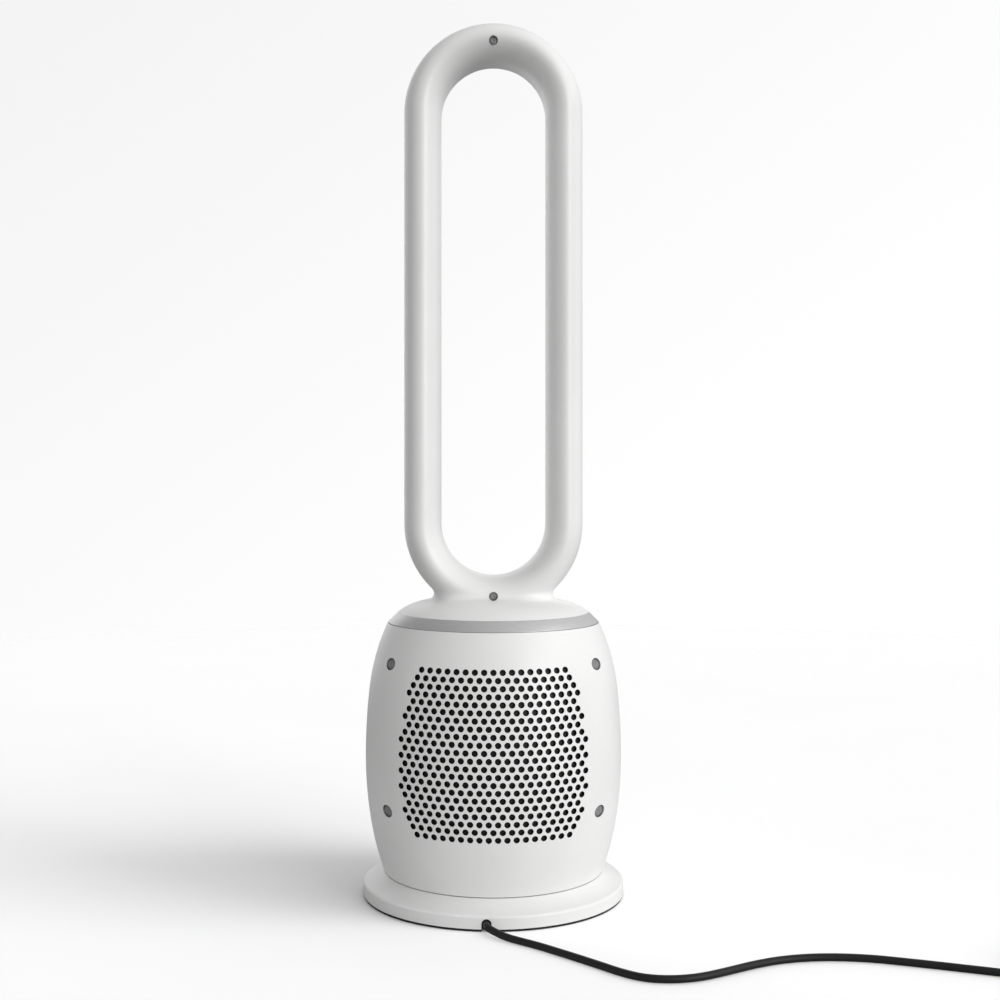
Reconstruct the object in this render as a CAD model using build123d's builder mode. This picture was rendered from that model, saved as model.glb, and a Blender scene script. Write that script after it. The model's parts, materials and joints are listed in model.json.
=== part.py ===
"""Bladeless tower fan, made of the pieces it would come apart into on a bench.

Frame: millimetres, +Z up, origin on the floor in the middle of the foot.
The air loop blows towards -Y. The intake grille and the mains lead are at +Y.
The base stands still. The barrel, neck and loop swing on it about Z.
"""

import math
import os

from build123d import *

# ------------------------------------------------------------------ driving sizes

total_height = 802.0

# base
base_radius = 120.0
base_wall = 2.6
base_edge_height = 13.0
base_edge_round = 2.5
base_top = 22.9
base_crown = 1.2  # bulge of the sloping rim over its chord
foot_lift = 1.6  # gap under the base plate
cover_lift = 2.2  # gap under the base wall
foot_inner = 104.0
foot_outer = 116.5
foot_lip = 119.3  # the foot's rim under the base wall
foot_seat = 1.4  # depth of the foot's groove in the plate
plate_thickness = 4.0
plate_gap = 0.3
ballast_inner = 28.0
ballast_outer = 80.0
ballast_thickness = 6.0
base_screw_circle = 90.0
base_boss_radius = 5.0

# pivot between base and tower
column_radius = 22.0
column_bore = 15.0
column_flange = 40.0
flange_thickness = 4.0
column_screw_circle = 34.0
running_clearance = 0.05
glide_inner = 68.0
glide_outer = 77.0
glide_sink = 1.0
sleeve_height = 10.0
sleeve_wall = 5.0
washer_thickness = 1.2
washer_width = 6.5
gear_module = 1.25
sun_teeth = 48
pinion_teeth = 16
gear_face = 7.0
pinion_face = 5.0
tooth_thinning = 0.16
gear_cap = 2.5
swing_shaft_radius = 2.5
swing_motor_radius = 18.0
swing_motor_height = 16.0
swing_motor_offset = 9.0  # the output shaft is off the motor's centre
swing_ear_spacing = 46.0
swing_ear_thickness = 1.2
post_radius = 4.0

# barrel
seam_gap = 0.6
barrel_height = 226.4
belly_rise = 104.5  # from the barrel's lower edge to its widest ring
belly_radius = 117.9
shoulder_rise = 62.0
knee_drop = 58.0
crown_bend = 560.0
shoulder_bend = 190.0
waist_bend = 360.0
foot_bend = 270.0
barrel_wall = 2.6
flange_reach = 9.0
flange_depth = 2.5
floor_thickness = 3.0
fit_gap = 0.3

# intake grille
hole_radius = 2.5
hole_pitch = 7.95
row_pitch = 6.752
row_count = 22
grille_rise = 122.9  # middle of the hole field above the barrel's lower edge
grille_bend = 170.0  # the columns are even on an arc of this radius
grille_reach = 10.6
grille_half_rows = 16.25
grille_centre_row = 12.5
grille_power = 2.5
screen_margin = 9.0
screen_half_angle = 47.0
screen_thickness = 0.8

# screws that hold the rear housing, and their plugs
upper_screw_rise = 194.7
lower_screw_rise = 66.4
upper_screw_angle = 56.8
lower_screw_angle = 53.9
body_recess_across = 7.8  # half axes of the barrel's oval plugs
body_recess_along = 5.5
loop_recess_radius = 4.1
plug_thickness = 2.0
plug_sink = 0.5
plug_gap = 0.15
cup_wall = 1.8
cup_depth = 7.5
screw_radius = 1.7
screw_play = 0.2
head_radius = 3.2
head_height = 2.2
side_post_inner = 79.0
side_post_depth = 8.0
side_post_width = 18.0

# trim ring, dome and neck
ring_height = 9.3
ring_top_radius = 87.9
ring_thickness = 2.4
dome_height = 15.3
dome_crown_radius = 66.0
dome_crown_bend = 380.0
neck_fillet = 6.5
shell_wall = 2.4

# loop
loop_width = 165.2
tube_width = 33.8
loop_rear_depth = 31.0
loop_front_depth = 29.0
loop_corner = 10.0
loop_sink = 16.7  # how far the loop's lower arc dips under the dome's top
slot_width = 2.6
slot_from_middle = 3.5
slot_rib = 2.0
slot_rib_count = 6
slot_rise = 14.0
upper_loop_screw_drop = 22.0
lower_loop_screw_rise = 0.8  # over the middle of the tube
lower_plug_lean = 6.0
loop_boss_radius = 6.0
loop_screw_depth = 7.0

# air path inside the barrel
deck_drop = 2.9  # deck's top under the barrel's top
deck_thickness = 3.0
deck_opening = 50.0
collar_height = 12.0
collar_wall = 3.0
deck_screw_circle = 70.0
deck_screw_angle = 50.0
duct_radius = 66.0
duct_wall = 2.5
duct_height = 121.5
mouth_radius = 76.0
mouth_height = 22.0
throat_radius = 51.0
bell_wall = 2.5
impeller_gap = 3.5
impeller_height = 42.0
impeller_nose_radius = 16.0
impeller_inlet_radius = 49.0
tip_clearance = 0.8
hub_wall = 2.5
blade_count = 9
blade_thickness = 1.8
blade_sweep = 38.0
pod_radius = 38.0
pod_wall = 2.5
pod_height = 56.0
cap_rise = 12.0
cap_round = 10.0
pod_gap = 4.0
vane_count = 11
vane_sweep = 16.0
shaft_radius = 3.0
bearing_radius = 8.0
bearing_width = 5.0
rotor_radius = 15.5
rotor_gap = 0.5
stator_height = 30.0
mount_circle = 73.0
mount_radius = 6.0
mount_height = 6.0
lug_thickness = 4.0
lug_margin = 3.0

# controls on the front
key_radius = 5.8
key_gap = 0.3
key_count = 4
key_pitch = 20.0
key_rise = 128.5
key_proud = 0.5
key_travel = 1.0
key_flange = 1.6
key_stem_radius = 2.0
lens_width = 52.0
lens_height = 22.0
lens_round = 4.0
lens_rise = 156.5
lens_sink = 0.1
board_setback = 20.9
board_thickness = 1.6
board_width = 88.0
board_height = 84.0
switch_size = 6.0
switch_height = 3.5
panel_post_radius = 3.2
control_board_length = 52.0
control_board_width = 70.0
control_board_inner = 36.0

# mains lead
cord_radius = 3.1
cord_bearing = 2.8  # degrees from straight back, towards +X
notch_width = 8.6
notch_top = 11.0
exit_height = 6.8
exit_radius = 120.5
relief_inner = 99.0
relief_radius = 4.1
relief_tip_radius = 3.5
relief_collar = 5.0
lead_bend = 12.0
clamp_circle = 90.0
clamp_length = 8.0
clamp_width = 24.0
clamp_top = 13.0
floor_gap = 0.05
coil_outer = 45.0
coil_pitch = 8.0
coil_layer = 6.9
coil_half_turns = 12
climb_half_turn = 5
tie_thickness = 0.6
tie_width = 8.0
tie_play = 0.6
plug_lead_length = 40.0
plug_relief_length = 14.0
plug_body_length = 34.0
plug_width = 26.0
plug_depth = 13.6
pin_radius = 2.0
pin_length = 19.0
pin_spacing = 18.6

# ------------------------------------------------------------------ derived sizes

barrel_bottom = base_top + seam_gap
barrel_top = barrel_bottom + barrel_height
belly_height = barrel_bottom + belly_rise
shoulder_height = belly_height + shoulder_rise
knee_height = belly_height - knee_drop
ring_top = barrel_top + ring_height
dome_top = ring_top + dome_height
loop_outer = loop_width / 2
loop_middle = loop_outer - tube_width / 2
lower_centre = dome_top - loop_sink + loop_outer
upper_centre = total_height - loop_outer
plate_top = foot_lift + plate_thickness
ballast_top = plate_top + ballast_thickness
floor_bottom = barrel_bottom + flange_depth
floor_top = floor_bottom + floor_thickness
sleeve_top = floor_bottom + sleeve_height
gear_bottom = sleeve_top + running_clearance + washer_thickness
gear_top = gear_bottom + gear_face
sun_pitch_radius = gear_module * sun_teeth / 2
pinion_pitch_radius = gear_module * pinion_teeth / 2
pinion_distance = sun_pitch_radius + pinion_pitch_radius
motor_bottom = gear_top + gear_cap + head_height + 1.0
deck_top = barrel_top - deck_drop
deck_bottom = deck_top - deck_thickness
duct_top = deck_bottom - mount_height
duct_bottom = duct_top - duct_height
impeller_bottom = duct_bottom + impeller_gap
impeller_top = impeller_bottom + impeller_height
pod_bottom = impeller_top + pod_gap
pod_top = pod_bottom + pod_height
duct_bore = duct_radius - duct_wall
pod_bore = pod_radius - pod_wall
board_face = -(belly_radius - board_setback)
key_height = barrel_bottom + key_rise
lens_centre = barrel_bottom + lens_rise
crown_turn = math.asin(shoulder_rise / crown_bend)
waist_turn = math.asin(knee_drop / waist_bend)

UP = (Align.CENTER, Align.CENTER, Align.MIN)
DOWN = (Align.CENTER, Align.CENTER, Align.MAX)

os.makedirs("parts", exist_ok=True)


# ------------------------------------------------------------------ shared shapes


def keep(piece, name):
    """Label a finished piece and write its file."""
    piece.part.label = name
    export_step(piece.part, f"parts/{name}.step")


def turned(*points):
    """Solid turned about Z from an outline of (radius, height) points."""
    with BuildPart() as solid:
        with BuildSketch(Plane.XZ):
            with BuildLine():
                Polyline(*points, close=True)
            make_face()
        revolve(axis=Axis.Z)
    return solid.part


def ring(inner, outer, low, high):
    """Plain ring about Z."""
    return turned((inner, low), (outer, low), (outer, high), (inner, high))


def drums(places, radius, low, high, mode=Mode.ADD):
    """Cylinders along the normals of planes, from one offset to another."""
    with Locations(*[place.offset(low) for place in places]):
        Cylinder(radius, high - low, align=UP, mode=mode)


def oval_drums(places, spare, low, high, mode=Mode.ADD):
    """The same with the oval of the barrel's plugs, larger all round by spare."""
    for place in places:
        with BuildSketch(place.offset(low)) as oval:
            Ellipse(body_recess_across + spare, body_recess_along + spare)
        extrude(oval.sketch, amount=high - low, mode=mode)


def facing_up(circle, angles, height):
    """Planes on a circle about Z, their normals up. Angles run from +X."""
    return [
        Plane.XY.offset(height).move(Location((circle * math.cos(turn), circle * math.sin(turn), 0)))
        for turn in map(math.radians, angles)
    ]


def facing_down(places):
    """The same planes turned over, for screws driven from below."""
    return [Plane(origin=place.origin, x_dir=(1, 0, 0), z_dir=(0, 0, -1)) for place in places]


def bearing_plane(radius, bearing, height, slope=0.0):
    """Plane on a circle about Z whose normal leans outward; bearings run from +Y towards +X."""
    turn = math.radians(bearing)
    out = (math.sin(turn), math.cos(turn))
    level, lift = math.cos(slope), math.sin(slope)
    return Plane(
        origin=(radius * out[0], radius * out[1], height),
        x_dir=(-out[1], out[0], 0),
        z_dir=(level * out[0], level * out[1], lift),
    )


def screw_set(places, length):
    """Pan-head screws: the head stands on each plane, the shank goes the other way."""
    with BuildPart() as screws:
        drums(places, head_radius, 0, head_height)
        drums(places, screw_radius, -length, 0)
        with Locations(*[place.offset(head_height) for place in places]):
            Box(head_radius, 0.9, 0.9, align=DOWN, mode=Mode.SUBTRACT)
            Box(0.9, head_radius, 0.9, align=DOWN, mode=Mode.SUBTRACT)
    return screws


# ------------------------------------------------------------------ barrel outline


def bent(height):
    """Radius and slope of the barrel's outside: two tangent arcs above the belly, two below."""
    rise = height - belly_height
    near, far, span = crown_bend, shoulder_bend, shoulder_rise
    if rise < 0:
        near, far, span = waist_bend, foot_bend, knee_drop
    lean = math.asin(min(abs(rise), span) / near)
    radius = belly_radius - near * (1 - math.cos(lean))
    if abs(rise) > span:
        last = math.asin((abs(rise) - span) / far + math.sin(lean))
        radius -= far * (math.cos(lean) - math.cos(last))
        lean = last
    return radius, math.copysign(lean, rise)


def bent_radius(height):
    """Radius of the barrel's outside at a height."""
    return bent(height)[0]


def barrel_solid(inset, low, high):
    """Turned solid of the barrel's outline, drawn in by inset, between two heights."""
    spare = 12.0  # the arcs run past the barrel's ends and are trimmed
    shoulder_end = math.asin(math.sin(crown_turn) + (barrel_top + spare - shoulder_height) / shoulder_bend)
    foot_end = math.asin(math.sin(waist_turn) + (knee_height - barrel_bottom + spare) / foot_bend)
    upper_turn = math.degrees(shoulder_end - crown_turn)
    lower_turn = math.degrees(foot_end - waist_turn)
    belly = (belly_radius - inset, belly_height)
    with BuildPart() as solid:
        with BuildSketch(Plane.XZ):
            with BuildLine():
                crown = JernArc(belly, (0, 1), crown_bend - inset, math.degrees(crown_turn))
                shoulder = JernArc(crown @ 1, crown % 1, shoulder_bend - inset, upper_turn)
                waist = JernArc(belly, (0, -1), waist_bend - inset, -math.degrees(waist_turn))
                foot = JernArc(waist @ 1, waist % 1, foot_bend - inset, -lower_turn)
                top, bottom = shoulder @ 1, foot @ 1
                Polyline((top.X, top.Y), (0, top.Y), (0, bottom.Y), (bottom.X, bottom.Y))
            make_face()
        revolve(axis=Axis.Z)
        split(bisect_by=Plane.XY.offset(low), keep=Keep.TOP)
        split(bisect_by=Plane.XY.offset(high), keep=Keep.BOTTOM)
    return solid.part


def on_barrel(bearing, height):
    """Plane on the barrel's outside, its normal square to the surface."""
    radius, slope = bent(height)
    return bearing_plane(radius, bearing, height, slope)


# ------------------------------------------------------------------ mains lead: shared

lead_turn = math.radians(cord_bearing)
lead_section = Plane(
    origin=(0, 0, 0),
    x_dir=(math.sin(lead_turn), math.cos(lead_turn), 0),
    z_dir=(math.cos(lead_turn), -math.sin(lead_turn), 0),
)


def lead_plane(radius, height=0.0):
    """Plane across the lead's bearing; its normal points outward and its X axis points up."""
    out = lead_section.x_dir
    return Plane(origin=out * radius + Vector(0, 0, height), x_dir=(0, 0, 1), z_dir=out)


def lead_channel(inner, outer, width, low, high):
    """Square-sided channel along the lead's bearing."""
    with BuildPart() as channel:
        with BuildSketch(lead_plane(inner)):
            with Locations(((low + high) / 2, 0)):
                Rectangle(high - low, width)
        extrude(amount=outer - inner)
    return channel.part


def lead_notch(inner, outer):
    """Arch-topped notch along the lead's bearing, open at the floor."""
    arch = notch_width / 2
    with BuildPart() as notch:
        with BuildSketch(lead_plane(inner)):
            with Locations((notch_top - arch, 0)):
                Circle(arch)
            with Locations(((notch_top - arch - 1) / 2, 0)):
                Rectangle(notch_top - arch + 1, notch_width)
        extrude(amount=outer - inner)
    return notch.part


def lead_bore(radius, inner, outer):
    """Round bore round the lead."""
    with BuildPart() as bore:
        drums([lead_plane(inner, exit_height)], radius, 0, outer - inner)
    return bore.part


# ------------------------------------------------------------------ base

quarters = [45, 135, 225, 315]
under_seat = foot_lift + head_height + screw_play
base_screw_places = facing_down(facing_up(base_screw_circle, quarters, under_seat))
column_screw_places = facing_down(facing_up(column_screw_circle, quarters, under_seat))
clamp_screw_offset = clamp_width / 2 - 1.6 * head_radius
clamp_screw_places = [
    Plane(
        origin=lead_section.from_local_coords((clamp_circle, clamp_top, side)),
        x_dir=(1, 0, 0),
        z_dir=(0, 0, 1),
    )
    for side in (-clamp_screw_offset, clamp_screw_offset)
]


def base_solid(inset, low):
    """Turned solid of the base: wall, rounded edge, sloping rim and flat top, drawn in by inset."""
    edge = (base_radius - inset, base_edge_height - inset / 2)
    seam = (bent_radius(barrel_bottom), base_top - inset)
    with BuildPart() as solid:
        with BuildSketch(Plane.XZ):
            with BuildLine():
                Polyline(seam, (0, base_top - inset), (0, low), (base_radius - inset, low), edge)
                SagittaArc(edge, seam, base_crown)
            make_face()
            fillet(vertices().sort_by_distance(edge)[0], radius=base_edge_round)
        revolve(axis=Axis.Z)
    return solid.part


with BuildPart() as foot_ring:
    add(ring(foot_inner, foot_outer, 0, foot_lift + foot_seat))
    add(ring(foot_outer - 1, foot_lip, 0, foot_lift - running_clearance))
    add(ring(base_radius - base_wall, foot_lip, 0, cover_lift - running_clearance))
    add(lead_notch(foot_inner - 1, base_radius), mode=Mode.SUBTRACT)
keep(foot_ring, "foot_ring")

with BuildPart() as base_plate:
    add(ring(0, base_radius - base_wall - plate_gap, foot_lift, plate_top))
    add(ring(foot_inner, foot_outer, foot_lift - 1, foot_lift + foot_seat), mode=Mode.SUBTRACT)
    add(lead_notch(foot_outer - 5, base_radius), mode=Mode.SUBTRACT)
    add(lead_bore(relief_collar + screw_play, relief_inner - 1, base_radius), mode=Mode.SUBTRACT)
    channel_low = exit_height - cord_radius - fit_gap
    add(
        lead_channel(-cord_radius - 3, base_radius, 2 * cord_radius + 1, channel_low, plate_top + 1),
        mode=Mode.SUBTRACT,
    )
    for places in (base_screw_places, column_screw_places):
        drums(places, screw_radius + screw_play, -plate_thickness, head_height + 1, mode=Mode.SUBTRACT)
        drums(places, head_radius + screw_play, 0, head_height + 1, mode=Mode.SUBTRACT)
    drums(clamp_screw_places, screw_radius, foot_lift + 1 - clamp_top, 0, mode=Mode.SUBTRACT)
keep(base_plate, "base_plate")

with BuildPart() as ballast_plate:
    add(ring(ballast_inner, ballast_outer, plate_top, ballast_top))
    add(
        lead_channel(0, ballast_outer + 1, 2 * cord_radius + 2, plate_top - 1, ballast_top + 1),
        mode=Mode.SUBTRACT,
    )
    drums(column_screw_places, screw_radius + screw_play, -ballast_top, 0, mode=Mode.SUBTRACT)
keep(ballast_plate, "ballast_plate")

with BuildPart() as pivot_column:
    add(ring(column_bore, column_flange, ballast_top, ballast_top + flange_thickness))
    add(ring(column_bore, column_radius, ballast_top, gear_top))
    drums(column_screw_places, screw_radius, -ballast_top, 0, mode=Mode.SUBTRACT)
    gear_screw_circle = (column_bore + column_radius) / 2
    gear_screw_places = facing_up(gear_screw_circle, [30, 150, 270], gear_top + gear_cap)
    drums(gear_screw_places, screw_radius, -gear_cap - 10, 0, mode=Mode.SUBTRACT)
keep(pivot_column, "pivot_column")

with BuildPart() as base_cover:
    add(base_solid(0, cover_lift))
    add(base_solid(base_wall, cover_lift - 1), mode=Mode.SUBTRACT)
    boss_places = facing_up(base_screw_circle, quarters, plate_top)
    drums(boss_places, base_boss_radius, 0, base_top - base_wall / 2 - plate_top)
    drums(boss_places, screw_radius, -1, base_top - 2 * base_wall - plate_top, mode=Mode.SUBTRACT)
    add(ring(0, column_radius + fit_gap, plate_top, base_top + 1), mode=Mode.SUBTRACT)
    add(ring(glide_inner, glide_outer, base_top - glide_sink, base_top + 1), mode=Mode.SUBTRACT)
    add(lead_notch(base_radius - 2 * base_wall, base_radius + 1), mode=Mode.SUBTRACT)
keep(base_cover, "base_cover")

with BuildPart() as glide_ring:
    add(ring(glide_inner, glide_outer, base_top - glide_sink, floor_bottom - running_clearance))
keep(glide_ring, "glide_ring")

with BuildPart() as strain_relief:
    with BuildSketch(lead_section):
        with BuildLine():
            Polyline(
                (relief_inner, exit_height + cord_radius),
                (relief_inner, exit_height + relief_radius),
                (base_radius - base_wall - 5, exit_height + relief_radius),
                (base_radius - base_wall - 5, exit_height + relief_collar),
                (base_radius - base_wall - 1, exit_height + relief_collar),
                (base_radius - base_wall - 1, exit_height + relief_radius),
                (exit_radius, exit_height + relief_tip_radius),
                (exit_radius, exit_height + cord_radius),
                close=True,
            )
        make_face()
    revolve(axis=Axis(lead_section.from_local_coords((0, exit_height, 0)), lead_section.x_dir))
keep(strain_relief, "strain_relief")

lead_rise_radius = 2.0
lead_top = gear_top + gear_cap + 10.0
with BuildPart() as inner_lead:
    with BuildLine(lead_section) as lead_path:
        FilletPolyline(
            (exit_radius, exit_height),
            (lead_rise_radius, exit_height),
            (lead_rise_radius, lead_top),
            radius=lead_bend,
        )
    with BuildSketch(Plane(origin=lead_path.line @ 0, z_dir=lead_path.line % 0)):
        Circle(cord_radius)
    sweep(path=lead_path.line)
keep(inner_lead, "inner_lead")

with BuildPart() as lead_connector:
    with Locations(Plane(origin=lead_section.from_local_coords((lead_rise_radius, lead_top, 0)))):
        Box(14, 10, 12, align=UP)
    edges_up = edges().filter_by(Axis.Z)
    fillet(edges_up, radius=1.2)
keep(lead_connector, "lead_connector")

with BuildPart() as cord_clamp:
    clamp_foot = lead_section.from_local_coords((clamp_circle, plate_top, 0))
    with Locations(Plane(origin=clamp_foot, x_dir=lead_section.x_dir)):
        Box(clamp_length, clamp_width, clamp_top - plate_top, align=UP)
    clamp_inner, clamp_outer = clamp_circle - clamp_length, clamp_circle + clamp_length
    add(lead_bore(cord_radius, clamp_inner, clamp_outer), mode=Mode.SUBTRACT)
    add(
        lead_channel(clamp_inner, clamp_outer, 2 * cord_radius, plate_top - 1, exit_height),
        mode=Mode.SUBTRACT,
    )
    drums(clamp_screw_places, screw_radius + screw_play, -clamp_top, 1, mode=Mode.SUBTRACT)
keep(cord_clamp, "cord_clamp")


# ------------------------------------------------------------------ swing gears


def gear_points(teeth, addendum, gap_first):
    """Outline of an involute gear, thinned a little for play; a gap or a tooth faces +X."""
    pitch_radius = gear_module * teeth / 2
    pressure = math.radians(20)
    base_circle = pitch_radius * math.cos(pressure)
    root = pitch_radius - 1.25 * gear_module
    tip = pitch_radius + addendum * gear_module
    half = math.pi / (2 * teeth) - tooth_thinning / (2 * pitch_radius) + math.tan(pressure) - pressure
    steps = 4
    start = max(root, base_circle)
    flank = [(root, half)] if root < base_circle else []
    for step in range(steps + 1):
        radius = start + (tip - start) * step / steps
        slant = math.acos(base_circle / radius)
        flank.append((radius, half - (math.tan(slant) - slant)))
    points = []
    for tooth in range(teeth):
        middle = (tooth + (0.5 if gap_first else 0.0)) * 2 * math.pi / teeth
        points += [(r * math.cos(middle - a), r * math.sin(middle - a)) for r, a in flank]
        points += [(r * math.cos(middle + a), r * math.sin(middle + a)) for r, a in reversed(flank)]
    return points


with BuildPart() as swing_gear:
    with BuildSketch(Plane.XY.offset(gear_bottom)):
        with BuildLine():
            Polyline(*gear_points(sun_teeth, 0.8, True), close=True)
        make_face()
        Circle(column_radius, mode=Mode.SUBTRACT)
    extrude(amount=gear_face)
    add(ring(column_bore + 0.5, column_radius + 3, gear_top, gear_top + gear_cap))
    drums(gear_screw_places, screw_radius + screw_play, -gear_cap, 1, mode=Mode.SUBTRACT)
keep(swing_gear, "swing_gear")

with BuildPart() as base_screws:
    add(screw_set(base_screw_places, base_top - 2 * base_wall - 1 - under_seat).part)
    add(screw_set(column_screw_places, ballast_top + flange_thickness - 1.5 - under_seat).part)
    add(screw_set(clamp_screw_places, clamp_top - foot_lift - 1.2).part)
    add(screw_set(gear_screw_places, gear_cap + 9).part)
keep(base_screws, "base_screws")

with BuildPart() as retaining_washer:
    add(ring(column_radius, column_radius + washer_width, sleeve_top + running_clearance, gear_bottom))
keep(retaining_washer, "retaining_washer")

pinion_bottom = gear_bottom + (gear_face - pinion_face) / 2
shaft_top = motor_bottom + swing_motor_height / 2
with BuildPart() as drive_pinion:
    with BuildSketch(Plane(origin=(pinion_distance, 0, pinion_bottom))):
        with BuildLine():
            Polyline(*gear_points(pinion_teeth, 0.9, False), close=True)
        make_face()
        Circle(swing_shaft_radius, mode=Mode.SUBTRACT)
    extrude(amount=pinion_face)
keep(drive_pinion, "drive_pinion")

with BuildPart() as swing_shaft:
    drums([Plane(origin=(pinion_distance, 0, pinion_bottom))], swing_shaft_radius, 0, shaft_top - pinion_bottom)
keep(swing_shaft, "swing_shaft")

motor_centre = pinion_distance + swing_motor_offset
motor_axis = Plane(origin=(motor_centre, 0, motor_bottom))
shaft_axis = Plane(origin=(pinion_distance, 0, motor_bottom))
ear_places = [
    Plane(origin=(motor_centre, side * swing_ear_spacing / 2, motor_bottom + swing_ear_thickness))
    for side in (-1, 1)
]
with BuildPart() as swing_motor:
    drums([motor_axis], swing_motor_radius, 0, swing_motor_height)
    with BuildSketch(motor_axis):
        SlotCenterToCenter(swing_ear_spacing, 2.4 * head_radius, rotation=90)
    extrude(amount=swing_ear_thickness)
    shaft_bore = swing_shaft_radius + running_clearance
    drums([shaft_axis], shaft_bore, -1, shaft_top - motor_bottom + 0.5, mode=Mode.SUBTRACT)
    drums(ear_places, screw_radius + screw_play, -swing_ear_thickness - 1, 1, mode=Mode.SUBTRACT)
keep(swing_motor, "swing_motor")


# ------------------------------------------------------------------ tower floor and posts

floor_radius = bent_radius(floor_bottom) - barrel_wall - fit_gap
floor_screw_circle = bent_radius(barrel_bottom) - flange_reach / 2 - 1.5
floor_screw_places = facing_up(floor_screw_circle, [12, 90, 168, 192, 270, 348], floor_top)
post_angle = (upper_screw_angle + lower_screw_angle) / 2
post_bearings = [post_angle, -post_angle]
side_post_middle = side_post_inner + side_post_depth / 2
chassis_low_places = facing_down(
    [bearing_plane(side_post_middle, bearing, floor_bottom) for bearing in post_bearings]
)
chassis_high_places = [
    Plane(origin=bearing_plane(side_post_middle, bearing, deck_top).origin) for bearing in post_bearings
]
board_middle = -control_board_inner - control_board_length / 2
board_centre = Plane(origin=(board_middle, 0, motor_bottom))
board_spots = [
    (across * (control_board_length / 2 - 5), along * (control_board_width / 2 - 5))
    for across in (-1, 1)
    for along in (-1, 1)
]
board_post_places = [Plane(origin=(board_middle + x, y, floor_top)) for x, y in board_spots]
board_screw_places = [
    Plane(origin=(board_middle + x, y, motor_bottom + board_thickness)) for x, y in board_spots
]

with BuildPart() as turntable_floor:
    add(ring(column_radius + running_clearance, floor_radius, floor_bottom, floor_top))
    add(ring(column_radius + running_clearance, column_radius + sleeve_wall, floor_bottom, sleeve_top))
    motor_post_places = [Plane(origin=(place.origin.X, place.origin.Y, floor_top)) for place in ear_places]
    drums(motor_post_places, post_radius, 0, motor_bottom - floor_top)
    drums(ear_places, screw_radius, -14, 0, mode=Mode.SUBTRACT)
    drums(board_post_places, panel_post_radius, 0, motor_bottom - floor_top)
    drums(board_screw_places, screw_radius, -10, 0, mode=Mode.SUBTRACT)
    drums(floor_screw_places, screw_radius + screw_play, -floor_thickness - 1, 1, mode=Mode.SUBTRACT)
    drums(chassis_low_places, screw_radius + screw_play, -floor_thickness - 1, 1, mode=Mode.SUBTRACT)
keep(turntable_floor, "turntable_floor")

with BuildPart() as control_board:
    with Locations(board_centre):
        Box(control_board_length, control_board_width, board_thickness, align=UP)
    with Locations(board_centre.offset(board_thickness)):
        with Locations((-12, 14)):
            Box(18, 22, 16, align=UP)
        with Locations((10, -4)):
            Box(12, 10, 9, align=UP)
        with Locations((-14, -16), (-2, -16)):
            Cylinder(5, 17, align=UP)
        with Locations((12, 18)):
            Box(8, 18, 7, align=UP)
    drums(board_screw_places, screw_radius + screw_play, -board_thickness - 1, 1, mode=Mode.SUBTRACT)
keep(control_board, "control_board")

rear_screw_heights = [barrel_bottom + upper_screw_rise, barrel_bottom + lower_screw_rise]
rear_screw_surfaces = {
    side: [
        on_barrel(side * upper_screw_angle, rear_screw_heights[0]),
        on_barrel(side * lower_screw_angle, rear_screw_heights[1]),
    ]
    for side in (1, -1)
}
rear_surfaces = rear_screw_surfaces[1] + rear_screw_surfaces[-1]
rear_seat_depth = plug_sink + plug_thickness + head_height + 0.4
rear_screw_places = [place.offset(-rear_seat_depth) for place in rear_surfaces]


def side_post(side):
    """Upright bar from floor to deck with a boss behind each rear housing screw."""
    stand = bearing_plane(side_post_middle, side * post_angle, floor_top)
    upright = Plane(origin=stand.origin, x_dir=stand.z_dir, z_dir=(0, 0, 1))
    with BuildPart() as post:
        with BuildSketch(upright):
            RectangleRounded(side_post_depth, side_post_width, 1.5)
        extrude(amount=deck_bottom - floor_top)
        for place in rear_screw_surfaces[side]:
            reach = math.hypot(place.origin.X, place.origin.Y) - side_post_middle
            drums([place], cup_wall + head_radius, -reach, -cup_depth)
        drums(rear_screw_places, screw_radius, -16, 0, mode=Mode.SUBTRACT)
        drums(chassis_low_places, screw_radius, -14, 0, mode=Mode.SUBTRACT)
        drums(chassis_high_places, screw_radius, -14, 0, mode=Mode.SUBTRACT)
    return post


keep(side_post(1), "right_post")
keep(side_post(-1), "left_post")


# ------------------------------------------------------------------ barrel housings

with BuildPart() as barrel:
    add(barrel_solid(0, barrel_bottom, barrel_top))
    add(barrel_solid(barrel_wall, floor_bottom, deck_bottom - flange_depth), mode=Mode.SUBTRACT)
    add(barrel_solid(barrel_wall, deck_bottom, barrel_top + 1), mode=Mode.SUBTRACT)
    clear_radius = bent_radius(barrel_bottom) - barrel_wall - flange_reach
    add(ring(0, clear_radius, barrel_bottom - 1, barrel_top + 1), mode=Mode.SUBTRACT)
    drums(floor_screw_places, screw_radius, 0.5 - floor_thickness - flange_depth, 0, mode=Mode.SUBTRACT)


def grille_places():
    """Planes of the intake holes: staggered rows inside a rounded-square outline."""
    places = []
    top_row = barrel_bottom + grille_rise + row_pitch * (row_count - 1) / 2
    for row in range(1, row_count + 1):
        share = abs((row - grille_centre_row) / grille_half_rows) ** grille_power
        half_width = grille_reach * (1 - share) ** (1 / grille_power)
        stagger = 0.0 if row % 2 else 0.5
        last = int(half_width - stagger)
        height = top_row - (row - 1) * row_pitch
        radius = bent_radius(height)
        columns = [stagger + step for step in range(-last - (1 if stagger else 0), last + 1)]
        for column in columns:
            aside = grille_bend * math.sin(column * hole_pitch / grille_bend)
            places.append(on_barrel(math.degrees(math.asin(aside / radius)), height))
    return places


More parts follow.
